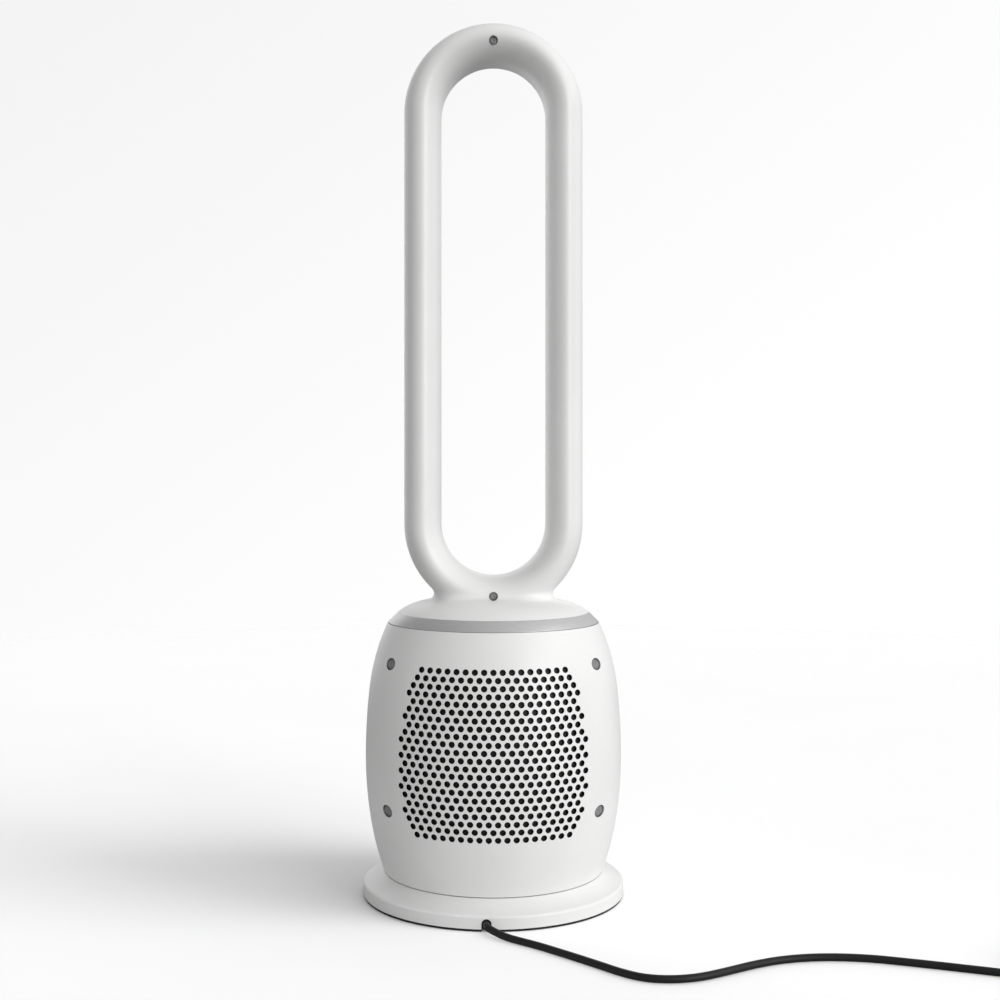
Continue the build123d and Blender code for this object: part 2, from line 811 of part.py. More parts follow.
with BuildPart() as rear_housing:
    add(barrel.part)
    split(bisect_by=Plane.XZ, keep=Keep.BOTTOM)
    oval_drums(rear_surfaces, cup_wall, -cup_depth, 1)
    add(barrel_solid(0, barrel_bottom, barrel_top), mode=Mode.INTERSECT)
    oval_drums(rear_surfaces, 0, -plug_sink - plug_thickness, 2, mode=Mode.SUBTRACT)
    drums(rear_surfaces, head_radius + screw_play, -rear_seat_depth, 0, mode=Mode.SUBTRACT)
    drums(rear_surfaces, screw_radius + screw_play, -cup_depth - 1, 0, mode=Mode.SUBTRACT)
    drums(grille_places(), hole_radius, -barrel_wall - 1.5, 1.5, mode=Mode.SUBTRACT)
keep(rear_housing, "rear_housing")
keep(screw_set(rear_screw_places, cup_depth - rear_seat_depth + 10), "housing_screws")


with BuildPart() as dust_screen:
    grille_middle = barrel_bottom + grille_rise
    screen_half = row_pitch * (row_count - 1) / 2 + screen_margin
    add(barrel_solid(barrel_wall, grille_middle - screen_half, grille_middle + screen_half))
    add(
        barrel_solid(barrel_wall + screen_thickness, grille_middle - screen_half, grille_middle + screen_half),
        mode=Mode.SUBTRACT,
    )
    for side in (1, -1):
        edge = bearing_plane(0, side * (screen_half_angle + 90), 0)
        split(bisect_by=edge, keep=Keep.BOTTOM)
keep(dust_screen, "dust_screen")

key_offsets = [(index - (key_count - 1) / 2) * key_pitch for index in range(key_count)]


def key_plane(aside):
    """Plane square to the front, its normal towards -Y."""
    return Plane(origin=(aside, 0, key_height), x_dir=(1, 0, 0), z_dir=(0, -1, 0))


board_posts = [(x, z) for x in (-board_width / 2 + 5, board_width / 2 - 5) for z in (-1, 1)]
display_middle = (key_height + lens_centre) / 2
panel_screw_places = [
    Plane(
        origin=(x, board_face + board_thickness, display_middle + z * (board_height / 2 - 5)),
        x_dir=(1, 0, 0),
        z_dir=(0, 1, 0),
    )
    for x, z in board_posts
]

with BuildPart() as front_housing:
    add(barrel.part)
    split(bisect_by=Plane.XZ, keep=Keep.TOP)
    drums(panel_screw_places, panel_post_radius, -belly_radius, -board_thickness)
    add(barrel_solid(0, barrel_bottom, barrel_top), mode=Mode.INTERSECT)
    drums(panel_screw_places, screw_radius, -board_thickness - 8, 0, mode=Mode.SUBTRACT)
    key_planes = [key_plane(x) for x in key_offsets]
    drums(key_planes, key_radius + key_gap, belly_radius / 2, belly_radius + 1, mode=Mode.SUBTRACT)
    with BuildSketch(Plane(origin=(0, 0, lens_centre), x_dir=(1, 0, 0), z_dir=(0, -1, 0))):
        RectangleRounded(lens_width, lens_height, lens_round)
    extrude(amount=belly_radius + 1, mode=Mode.SUBTRACT)
keep(front_housing, "front_housing")

lens_plane = Plane(origin=(0, 0, lens_centre), x_dir=(1, 0, 0), z_dir=(0, -1, 0))
lens_low, lens_high = lens_centre - lens_height, lens_centre + lens_height
with BuildPart() as lens_rim:
    with BuildSketch(lens_plane):
        RectangleRounded(lens_width + 5, lens_height + 5, lens_round)
    extrude(amount=belly_radius + 1)
    add(barrel_solid(barrel_wall, lens_low, lens_high), mode=Mode.INTERSECT)

with BuildPart() as display_lens:
    with BuildSketch(lens_plane):
        RectangleRounded(lens_width - 2 * plug_gap, lens_height - 2 * plug_gap, lens_round - plug_gap)
    extrude(amount=belly_radius + 1)
    add(barrel_solid(lens_sink, lens_low, lens_high), mode=Mode.INTERSECT)
    add(lens_rim.part)
    add(barrel_solid(barrel_wall + 1.2, lens_low - 1, lens_high + 1), mode=Mode.SUBTRACT)
keep(display_lens, "display_lens")

switch_face = board_face - switch_height
inner_belly = belly_radius - barrel_wall


def key_piece(aside):
    """Round key with a crowned cap, a flange behind the wall and a stem that reaches its switch."""
    flange_edge = abs(aside) + key_radius + 1.6
    flange_front = math.sqrt(inner_belly**2 - flange_edge**2) - 0.6
    stem_end = -switch_face + key_travel + 0.2
    with BuildPart() as key:
        drums([key_plane(aside)], key_radius, flange_front - key_flange, belly_radius + 5)
        add(barrel_solid(-key_proud, key_height - 30, key_height + 30), mode=Mode.INTERSECT)
        drums([key_plane(aside)], key_radius + 1.6, flange_front - key_flange, flange_front)
        drums([key_plane(aside)], key_stem_radius, stem_end, flange_front)
    return key


key_names = ["power_key", "speed_key", "swing_key", "timer_key"]
for key_name, aside in zip(key_names, key_offsets):
    keep(key_piece(aside), key_name)

with BuildPart() as display_board:
    with Locations((0, board_face + board_thickness / 2, display_middle)):
        Box(board_width, board_thickness, board_height)
    drums(panel_screw_places, screw_radius + screw_play, -board_thickness - 1, 1, mode=Mode.SUBTRACT)
keep(display_board, "display_board")

with BuildPart() as board_screws:
    add(screw_set(board_screw_places, board_thickness + 7).part)
    add(screw_set(panel_screw_places, board_thickness + 7).part)
    add(screw_set(ear_places, 12).part)
keep(board_screws, "board_screws")

with BuildPart() as key_switches:
    for aside in key_offsets:
        with Locations((aside, board_face, key_height)):
            Box(switch_size, switch_height, switch_size, align=(Align.CENTER, Align.MAX, Align.CENTER))
keep(key_switches, "key_switches")

with BuildPart() as display_module:
    with Locations((0, board_face, lens_centre)):
        Box(lens_width - 8, 7, lens_height - 4, align=(Align.CENTER, Align.MAX, Align.CENTER))
keep(display_module, "display_module")


# ------------------------------------------------------------------ trim ring and deck

inner_top = bent_radius(barrel_top) - barrel_wall
with BuildPart() as trim_ring:
    add(
        turned(
            (bent_radius(barrel_top), barrel_top),
            (ring_top_radius, ring_top),
            (ring_top_radius - ring_thickness, ring_top),
            (inner_top - fit_gap - ring_thickness, barrel_top + ring_thickness),
            (inner_top - fit_gap - ring_thickness, deck_top),
            (inner_top - fit_gap, deck_top),
            (inner_top - fit_gap, barrel_top),
        )
    )
keep(trim_ring, "trim_ring")

deck_screw_angles = [deck_screw_angle, 180 - deck_screw_angle, 180 + deck_screw_angle, -deck_screw_angle]
deck_screw_places = facing_down(facing_up(deck_screw_circle, deck_screw_angles, deck_bottom))
mount_angles = [90, 210, 330]
mount_places = facing_up(mount_circle, mount_angles, duct_top)
mount_screw_places = facing_down(facing_up(mount_circle, mount_angles, duct_top - lug_thickness))

with BuildPart() as top_deck:
    add(ring(deck_opening, bent_radius(deck_top) - barrel_wall - fit_gap, deck_bottom, deck_top))
    add(ring(deck_opening, deck_opening + collar_wall, deck_top, deck_top + collar_height))
    drums(deck_screw_places, screw_radius + screw_play, -deck_thickness - 1, 1, mode=Mode.SUBTRACT)
    drums(chassis_high_places, screw_radius + screw_play, -deck_thickness - 1, 1, mode=Mode.SUBTRACT)
    drums(mount_places, screw_radius, mount_height - 1, mount_height + deck_thickness + 1, mode=Mode.SUBTRACT)
keep(top_deck, "top_deck")

with BuildPart() as chassis_screws:
    add(screw_set(floor_screw_places, floor_thickness + flange_depth - 0.7).part)
    add(screw_set(chassis_low_places, floor_thickness + 9).part)
    add(screw_set(chassis_high_places, deck_thickness + 9).part)
    add(screw_set(deck_screw_places, deck_thickness + 10).part)
    add(screw_set(mount_screw_places, lug_thickness + mount_height + deck_thickness - 0.3).part)
keep(chassis_screws, "chassis_screws")

with BuildPart() as rubber_mounts:
    drums(mount_places, mount_radius, 0, mount_height)
    drums(mount_places, screw_radius + screw_play, -1, mount_height + 1, mode=Mode.SUBTRACT)
keep(rubber_mounts, "rubber_mounts")

with BuildPart() as duct_gasket:
    add(ring(duct_radius - 6, duct_radius, duct_top, deck_bottom))
keep(duct_gasket, "duct_gasket")


# ------------------------------------------------------------------ loop shells


def loop_section(inset):
    """Section of the loop's tube: half an ellipse at the rear, a round-cornered box in front."""
    half = tube_width / 2 - inset
    front = -(loop_front_depth - inset)
    corner = loop_corner - inset
    with BuildSketch() as section:
        with BuildLine():
            EllipticalCenterArc((0, 0), half, loop_rear_depth - inset, start_angle=0, arc_size=180)
            FilletPolyline((-half, 0), (-half, front), (half, front), (half, 0), radius=corner)
        make_face()
    return section.sketch


def loop_solid(inset):
    """Racetrack loop of that section: two legs and two half turns."""
    section = loop_section(inset)
    with BuildPart() as loop:
        for side in (-1, 1):
            with BuildSketch(Plane(origin=(side * loop_middle, 0, lower_centre))):
                add(section)
            extrude(amount=upper_centre - lower_centre)
        for centre, turn in ((upper_centre, -180), (lower_centre, 180)):
            with BuildSketch(Plane(origin=(loop_middle, 0, centre))):
                add(section)
            revolve(axis=Axis((0, 0, centre), (0, 1, 0)), revolution_arc=turn)
    return loop.part


def dome_solid(inset):
    """Turned dome under the loop: a flat crown, a tight shoulder, and a straight skirt down to the deck."""
    crown_angle = math.degrees(math.asin(dome_crown_radius / dome_crown_bend))
    with BuildPart() as dome:
        with BuildSketch(Plane.XZ):
            with BuildLine():
                crown = JernArc((0, dome_top - inset), (1, 0), dome_crown_bend - inset, -crown_angle)
                rim = (ring_top_radius - inset, ring_top)
                TangentArc(crown @ 1, rim, tangent=crown % 1)
                Polyline(rim, (rim[0], deck_top), (0, deck_top), (0, dome_top - inset))
            make_face()
        revolve(axis=Axis.Z)
    return dome.part


def loop_and_dome(inset):
    """Loop and dome in one, with the concave fillet of the neck."""
    with BuildPart() as form:
        add(loop_solid(inset))
        add(dome_solid(inset))
        neck = [
            edge
            for edge in edges()
            if edge.bounding_box().min.Z > dome_top - 6
            and edge.bounding_box().max.Z < dome_top
            and not (abs(edge.center().Y) < 0.01 and edge.length < tube_width)
        ]
        fillet(neck, radius=neck_fillet + inset)
        split(bisect_by=Plane.XY.offset(deck_top), keep=Keep.TOP)
    return form.part


def tube_rear(height, centre):
    """How far back the loop's rear surface is at a height on its middle line, by the section's ellipse."""
    off_middle = abs(abs(height - centre) - loop_middle)
    return loop_rear_depth * math.sqrt(1 - (2 * off_middle / tube_width) ** 2)


loop_screw_heights = [
    total_height - upper_loop_screw_drop,
    lower_centre - loop_middle + lower_loop_screw_rise,
]
loop_screw_backs = [
    tube_rear(height, centre) for height, centre in zip(loop_screw_heights, (upper_centre, lower_centre))
]
loop_surfaces = [
    Plane(origin=(0, back, height), x_dir=(-1, 0, 0), z_dir=(0, 1, 0))
    for back, height in zip(loop_screw_backs, loop_screw_heights)
]
loop_screw_places = [place.offset(-loop_screw_depth) for place in loop_surfaces]
plug_turn = math.radians(lower_plug_lean)
lower_plug_face = Plane(
    origin=loop_surfaces[1].origin, x_dir=(-1, 0, 0), z_dir=(0, math.cos(plug_turn), math.sin(plug_turn))
)
loop_plug_faces = [loop_surfaces[0], lower_plug_face]
loop_boss_places = [
    Plane(origin=(0, 0, height), x_dir=(-1, 0, 0), z_dir=(0, 1, 0)) for height in loop_screw_heights
]
loop_outside = loop_and_dome(0)
dome_boss_places = facing_up(deck_screw_circle, deck_screw_angles, deck_top)

with BuildPart() as loop_shell:
    add(loop_outside)
    add(loop_and_dome(shell_wall), mode=Mode.SUBTRACT)
    split(bisect_by=Plane.XY.offset(ring_top), keep=Keep.TOP)

with BuildPart() as loop_bosses:
    drums(loop_boss_places, loop_boss_radius, -loop_front_depth, loop_rear_depth)
    drums(dome_boss_places, base_boss_radius, 0, dome_top - deck_top)
    add(loop_outside, mode=Mode.INTERSECT)

with BuildPart() as loop_rear_shell:
    add(loop_shell.part)
    add(loop_bosses.part)
    split(bisect_by=Plane.XZ, keep=Keep.BOTTOM)
    drums(loop_plug_faces, loop_recess_radius, -plug_sink - plug_thickness, 18, mode=Mode.SUBTRACT)
    drums(loop_surfaces, head_radius + screw_play, -loop_screw_depth, 0, mode=Mode.SUBTRACT)
    drums(loop_surfaces, screw_radius + screw_play, -loop_rear_depth - 1, 0, mode=Mode.SUBTRACT)
    drums(deck_screw_places, screw_radius, -deck_thickness - 10.5, 0, mode=Mode.SUBTRACT)
keep(loop_rear_shell, "loop_rear_shell")


def slot_outline(half_width):
    """Upside-down U at a half width, from just above the lower arc."""
    low = lower_centre + slot_rise
    with BuildSketch(Plane(origin=(0, 0, 0), x_dir=(1, 0, 0), z_dir=(0, -1, 0))) as outline:
        with Locations((0, (low + upper_centre) / 2)):
            Rectangle(2 * half_width, upper_centre - low)
        with Locations((0, upper_centre)):
            Circle(half_width)
    return outline.sketch


slot_middle = loop_middle - slot_from_middle
with BuildPart() as air_slot:
    with BuildSketch(Plane(origin=(0, 0, 0), x_dir=(1, 0, 0), z_dir=(0, -1, 0))):
        add(slot_outline(slot_middle + slot_width / 2))
        add(slot_outline(slot_middle - slot_width / 2), mode=Mode.SUBTRACT)
        rib_span = upper_centre - lower_centre - slot_rise
        for index in range(1, slot_rib_count + 1):
            with Locations((0, lower_centre + slot_rise + rib_span * index / (slot_rib_count + 0.5))):
                Rectangle(loop_width, slot_rib, mode=Mode.SUBTRACT)
        with Locations((0, total_height)):
            Rectangle(slot_rib, 2 * tube_width, mode=Mode.SUBTRACT)
    extrude(amount=loop_front_depth + 1)
    with BuildSketch(Plane(origin=(0, -loop_front_depth / 2, 0), x_dir=(1, 0, 0), z_dir=(0, 1, 0))):
        Rectangle(2 * loop_width, 2.5 * total_height)
    extrude(amount=loop_front_depth, mode=Mode.SUBTRACT)

with BuildPart() as loop_front_shell:
    add(loop_shell.part)
    add(loop_bosses.part)
    split(bisect_by=Plane.XZ, keep=Keep.TOP)
    drums(loop_boss_places, screw_radius, -14, 0, mode=Mode.SUBTRACT)
    drums(deck_screw_places, screw_radius, -deck_thickness - 10.5, 0, mode=Mode.SUBTRACT)
    add(air_slot.part, mode=Mode.SUBTRACT)
keep(loop_front_shell, "loop_front_shell")
loop_screw_reach = min(loop_screw_backs) - loop_screw_depth + 10
keep(screw_set(loop_screw_places, loop_screw_reach), "loop_screws")

with BuildPart() as screw_plugs:
    oval_drums(rear_surfaces, -plug_gap, -plug_sink - plug_thickness, -plug_sink)
    drums(loop_plug_faces, loop_recess_radius - plug_gap, -plug_sink - plug_thickness, -plug_sink)
keep(screw_plugs, "screw_plugs")


# ------------------------------------------------------------------ duct, fan motor and impeller

with BuildPart() as fan_duct:
    add(ring(duct_bore, duct_radius, duct_bottom, duct_top))
    lugs = [place.offset(-lug_thickness) for place in mount_places]
    drums(lugs, mount_radius + lug_margin, 0, lug_thickness)
    add(ring(0, duct_bore, duct_bottom, duct_top), mode=Mode.SUBTRACT)
    drums(lugs, screw_radius + screw_play, -1, lug_thickness + 1, mode=Mode.SUBTRACT)
keep(fan_duct, "fan_duct")

with BuildPart() as inlet_bell:
    flare_width = mouth_radius - throat_radius
    mouth_low = duct_bottom - mouth_height
    with BuildSketch(Plane.XZ):
        with BuildLine():
            inside = EllipticalCenterArc(
                (mouth_radius, duct_bottom), flare_width, mouth_height, start_angle=180, arc_size=90
            )
            outside = EllipticalCenterArc(
                (mouth_radius, duct_bottom),
                flare_width - bell_wall,
                mouth_height - bell_wall,
                start_angle=180,
                arc_size=90,
            )
            Line(inside @ 0, outside @ 0)
            Line(inside @ 1, outside @ 1)
        make_face()
    revolve(axis=Axis.Z)
    add(ring(throat_radius, duct_radius, duct_bottom - bell_wall, duct_bottom))
    add(ring(0, throat_radius, mouth_low, duct_bottom + 1), mode=Mode.SUBTRACT)
keep(inlet_bell, "inlet_bell")


def swept_blades(count, low, high, sweep, thickness):
    """Twisted blades, each a ruled loft between two radial strips given as (inner, outer, height)."""
    with BuildPart() as blades:
        for index in range(count):
            start = index * 360 / count
            for strip, angle in ((low, start), (high, start + sweep)):
                inner, outer, height = strip
                with BuildSketch(Plane.XY.offset(height).rotated((0, 0, angle))):
                    with Locations(((inner + outer) / 2, 0)):
                        Rectangle(outer - inner, thickness)
            loft(ruled=True)
    return blades.part


impeller_radius = duct_bore - tip_clearance
hub_radius = pod_radius
with BuildPart() as impeller:
    add(
        turned(
            (shaft_radius, impeller_bottom),
            (impeller_nose_radius, impeller_bottom),
            (hub_radius, impeller_top - 4),
            (hub_radius, impeller_top),
            (hub_radius - hub_wall, impeller_top),
            (hub_radius - hub_wall, impeller_top - 3.4),
            (impeller_nose_radius - hub_wall, impeller_bottom + hub_wall),
            (shaft_radius + 4, impeller_bottom + hub_wall),
            (shaft_radius + 4, impeller_top - 12),
            (shaft_radius, impeller_top - 12),
        )
    )
    blade_low = (impeller_nose_radius - 1, impeller_inlet_radius, impeller_bottom + 1)
    blade_high = (hub_radius - 1, impeller_radius, impeller_top - 1)
    add(swept_blades(blade_count, blade_low, blade_high, blade_sweep, blade_thickness))
keep(impeller, "impeller")

bearing_low = pod_bottom + pod_wall + 0.5
stator_bottom = bearing_low + bearing_width + 2.5
stator_top = stator_bottom + stator_height
end_plate_bottom = stator_top + 2.5
bearing_high = end_plate_bottom + 1.5
with BuildPart() as diffuser:
    add(ring(pod_bore, pod_radius, pod_bottom, pod_top))
    add(ring(shaft_radius + 1.5, pod_radius, pod_bottom, pod_bottom + pod_wall))
    add(ring(bearing_radius, bearing_radius + 3, pod_bottom, bearing_low + bearing_width))
    add(ring(shaft_radius + 1.5, bearing_radius + 1, pod_bottom, bearing_low))
    add(ring(duct_bore - 1.6, duct_bore, pod_bottom + 8, pod_top))
    vane_low = (pod_radius - 1, duct_bore - 0.8, pod_bottom + 8)
    vane_high = (pod_radius - 1, duct_bore - 0.8, pod_top - 2)
    add(swept_blades(vane_count, vane_low, vane_high, -vane_sweep, 1.6))
keep(diffuser, "diffuser")

with BuildPart() as motor_stator:
    add(ring(rotor_radius + rotor_gap, pod_bore, stator_bottom, stator_top))
    with PolarLocations(rotor_radius + rotor_gap + 6, 12):
        with Locations((0, 0, stator_bottom - 1)):
            Box(9, 3.2, stator_height + 2, align=UP, mode=Mode.SUBTRACT)
keep(motor_stator, "motor_stator")

with BuildPart() as motor_end_plate:
    add(ring(bearing_radius, pod_bore, end_plate_bottom, end_plate_bottom + pod_wall))
    add(ring(bearing_radius, bearing_radius + 3, end_plate_bottom, bearing_high + bearing_width))
    add(ring(shaft_radius + 1.5, bearing_radius + 1, end_plate_bottom, bearing_high))
keep(motor_end_plate, "motor_end_plate")



def round_topped(radius, rise, top_round):
    """Short drum on the motor pod with its top edge rounded."""
    with BuildPart() as drum:
        with Locations((0, 0, pod_top)):
            Cylinder(radius, rise, align=UP)
        top_edges = faces().sort_by(Axis.Z)[-1].edges()
        fillet(top_edges, radius=top_round)
    return drum.part


with BuildPart() as motor_cap:
    add(round_topped(pod_radius, cap_rise, cap_round))
    add(round_topped(pod_bore, cap_rise - pod_wall, cap_round - pod_wall), mode=Mode.SUBTRACT)
keep(motor_cap, "motor_cap")

with BuildPart() as motor_bearings:
    for low in (bearing_low, bearing_high):
        add(ring(shaft_radius + running_clearance, bearing_radius, low, low + bearing_width))
keep(motor_bearings, "motor_bearings")

nut_height = 6.0
with BuildPart() as motor_shaft:
    drums([Plane.XY], shaft_radius, impeller_bottom - nut_height - 1, bearing_high + bearing_width + 1)
keep(motor_shaft, "motor_shaft")

with BuildPart() as motor_rotor:
    add(ring(shaft_radius, rotor_radius, stator_bottom + 2, stator_top - 2))
keep(motor_rotor, "motor_rotor")

with BuildPart() as impeller_nut:
    with BuildSketch(Plane.XY.offset(impeller_bottom - nut_height)):
        RegularPolygon(2 * shaft_radius, 6)
        Circle(shaft_radius, mode=Mode.SUBTRACT)
    extrude(amount=nut_height)
keep(impeller_nut, "impeller_nut")


# ------------------------------------------------------------------ mains lead outside

lay = cord_radius + floor_gap
coil_lay = cord_radius + tie_thickness + 2 * floor_gap
coil_start = (-446.0, 247.5)
coil_heading = 157.5  # direction of travel where the lead joins the coil, from +X
coil_turn = math.radians(coil_heading)
coil_centre = (
    coil_start[0] - coil_outer * math.sin(coil_turn),
    coil_start[1] + coil_outer * math.cos(coil_turn),
)
straight_end = 2 * cord_radius
coil_frame = Plane(
    origin=(coil_centre[0], coil_centre[1], 0),
    x_dir=(math.sin(coil_turn), -math.cos(coil_turn), 0),
    z_dir=(0, 0, 1),
)
exit_point = lead_section.from_local_coords((exit_radius, exit_height, 0))
first_point = lead_section.from_local_coords((exit_radius + 6.5, exit_height, 0))


def in_coil_frame(spot):
    """Place a point of the coil's own plane on the floor beside the fan."""
    return tuple(coil_frame.from_local_coords(tuple(spot)))



route = [
    tuple(exit_point),
    tuple(first_point),
    (-0.4, 133.8, 5.2),
    (-9.5, 142.6, 3.6),
    (-20.5, 151.0, lay),
    (-34.5, 161.6, lay),
    (-57.5, 183.5, lay),
    (-81.0, 207.0, lay),
    (-99.5, 226.5, lay),
    (-116.0, 238.0, lay),
    (-137.0, 240.6, lay),
    (-158.5, 235.5, lay),
    (-181.5, 222.0, lay),
    (-205.5, 206.6, lay),
    (-231.0, 195.0, lay),
    (-263.0, 189.6, lay),
    (-297.5, 193.0, lay),
    (-326.0, 202.2, lay),
    (-350.0, 210.6, lay),
    (-374.0, 219.4, lay),
    in_coil_frame((coil_outer + 0.9, -straight_end - 54, lay)),
    in_coil_frame((coil_outer, -straight_end - 36, lay)),
    in_coil_frame((coil_outer, -straight_end - 18, coil_lay)),
    in_coil_frame((coil_outer, -straight_end, coil_lay)),
]


def route_radii(points):
    """Radius of the arc at each inner corner: 0.45 of the shorter run over the tangent of half the turn."""
    spots = [Vector(*point) for point in points]
    runs = [after - before for before, after in zip(spots, spots[1:])]
    return [
        0.45 * min(one.length, two.length) / math.tan(math.radians(one.get_angle(two)) / 2)
        for one, two in zip(runs, runs[1:])
    ]


def lead_tube(points, name):
    """Round tube along runs and tangent arcs; prints its radii and checks its volume."""
    radii = route_radii(points)
    with BuildPart() as lead:
        with BuildLine() as path:
            FilletPolyline(*points, radius=radii)
        wire = path.wires()[0]
        with BuildSketch(Plane(origin=wire @ 0, z_dir=wire % 0)):
            Circle(cord_radius)
        sweep(path=wire)
    share = lead.part.volume / (math.pi * cord_radius**2 * wire.length)
    print(name, "length", round(wire.length, 1), "volume over section x length", round(share, 4))
    print(name, "radii", [round(radius, 1) for radius in radii])
    return lead


keep(lead_tube(route, "mains_cord"), "mains_cord")

coil_low_radii = [coil_outer - coil_pitch / 2 * step for step in range(climb_half_turn + 1)]
coil_high_radii = [
    coil_low_radii[-1] + coil_pitch / 2 * step for step in range(coil_half_turns - climb_half_turn)
]
coil_radii = coil_low_radii + coil_high_radii
coil_heights = [
    coil_lay + (coil_layer if step > climb_half_turn else 0) for step in range(coil_half_turns + 1)
]


def coil_points():
    """End points of the coil's half turns, on alternate sides, in the coil's own plane."""
    return [
        Vector(radius if step % 2 == 0 else -radius, 0, height)
        for step, (radius, height) in enumerate(zip(coil_radii, coil_heights))
    ]


def half_turns():
    """Each half turn as start, middle and end; the climbing one is a tilted half circle."""
    ends = coil_points()
    arcs = []
    for step, (start, end) in enumerate(zip(ends, ends[1:])):
        bulge = (end - start).length / 2 * (1 if step % 2 == 0 else -1)
        arcs.append((start, (start + end) / 2 + Vector(0, bulge, 0), end))
    return arcs


with BuildPart() as cord_coil:
    with BuildLine() as coil_path:
        ends = coil_points()
        Line(in_coil_frame(ends[0] - Vector(0, straight_end, 0)), in_coil_frame(ends[0]))
        for start, middle, end in half_turns():
            ThreePointArc(in_coil_frame(start), in_coil_frame(middle), in_coil_frame(end))
        Line(in_coil_frame(ends[-1]), in_coil_frame(ends[-1] + Vector(0, straight_end, 0)))
    coil_wire = coil_path.wires()[0]
    with BuildSketch(Plane(origin=coil_wire @ 0, z_dir=coil_wire % 0)):
        Circle(cord_radius)
    sweep(path=coil_wire)
keep(cord_coil, "cord_coil")


def least_gap(spacing=2.0):
    """Least distance between the coil's surfaces, on points along its middle line."""
    count = int(coil_wire.length / spacing)
    spots = [coil_wire @ (index / count) for index in range(count + 1)]
    skip = int(4 * cord_radius / spacing) + 1
    return min(
        (one - two).length for index, one in enumerate(spots) for two in spots[index + skip :]
    ) - 2 * cord_radius


print("cord_coil length", round(coil_wire.length, 1), "least gap", round(least_gap(), 2))
print("cord_coil volume ratio", round(cord_coil.part.volume / (math.pi * cord_radius**2 * coil_wire.length), 4))

with BuildPart() as cord_tie:
    inner_side = coil_radii[climb_half_turn + 1] - cord_radius - tie_play
    outer_side = coil_radii[-2] + cord_radius + tie_play
    tie_top = coil_lay + coil_layer + cord_radius + tie_play
    tie_middle = (inner_side + outer_side) / 2
    tie_plane = Plane(
        origin=in_coil_frame((-tie_width / 2, 0, 0)),
        x_dir=coil_frame.y_dir,
        z_dir=coil_frame.x_dir,
    )
    tie_low = floor_gap + tie_thickness
    tie_across, tie_deep = outer_side - inner_side, tie_top - tie_low
    with BuildSketch(tie_plane):
        with Locations((tie_middle, (tie_low + tie_top) / 2)):
            RectangleRounded(tie_across + 2 * tie_thickness, tie_deep + 2 * tie_thickness, 3 + tie_thickness)
            RectangleRounded(tie_across, tie_deep, 3, mode=Mode.SUBTRACT)
    extrude(amount=tie_width)
keep(cord_tie, "cord_tie")

plug_lay = plug_depth / 2 + floor_gap
coil_exit = coil_points()[-1] + Vector(0, straight_end, 0)
plug_start = coil_exit.Y + plug_lead_length
plug_route = [
    coil_exit,
    Vector(coil_exit.X, coil_exit.Y + plug_lead_length * 0.3, coil_exit.Z),
    Vector(coil_exit.X, coil_exit.Y + plug_lead_length * 0.7, plug_lay),
    Vector(coil_exit.X, plug_start, plug_lay),
]
keep(lead_tube([in_coil_frame(spot) for spot in plug_route], "plug_lead"), "plug_lead")


def plug_plane(along):
    """Plane across the plug at a distance from its cord end; X is its width and Y is up."""
    return Plane(
        origin=in_coil_frame((coil_exit.X, plug_start + along, plug_lay)),
        x_dir=-coil_frame.x_dir,
        z_dir=coil_frame.y_dir,
    )


with BuildPart() as plug:
    for along, radius in ((0, cord_radius + 0.5), (plug_relief_length, cord_radius + 2)):
        with BuildSketch(plug_plane(along)):
            Circle(radius)
    loft()
    body_sizes = [(0, 0.55, 0.8), (0.35, 0.85, 1.0), (1, 1, 1)]
    for share, width_share, depth_share in body_sizes:
        with BuildSketch(plug_plane(plug_relief_length + share * plug_body_length)):
            RectangleRounded(plug_width * width_share, plug_depth * depth_share, 0.3 * plug_depth)
    loft(ruled=True)
keep(plug, "plug")

with BuildPart() as plug_pins:
    face = plug_plane(plug_relief_length + plug_body_length)
    pin_planes = [
        Plane(origin=face.from_local_coords((side * pin_spacing / 2, 0, 0)), x_dir=face.x_dir, z_dir=face.z_dir)
        for side in (-1, 1)
    ]
    drums(pin_planes, pin_radius, 0, pin_length)
    fillet(faces().sort_by(Axis(face.origin, face.z_dir))[-2:].edges(), radius=1.2)
keep(plug_pins, "plug_pins")
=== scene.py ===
"""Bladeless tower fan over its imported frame: shells, grille, base, controls, mains lead, plain studio."""

import json
import math

import bmesh
import bpy
import numpy as np
from bpy.props import FloatProperty, FloatVectorProperty, PointerProperty
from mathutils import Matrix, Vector
from mathutils.geometry import delaunay_2d_cdt

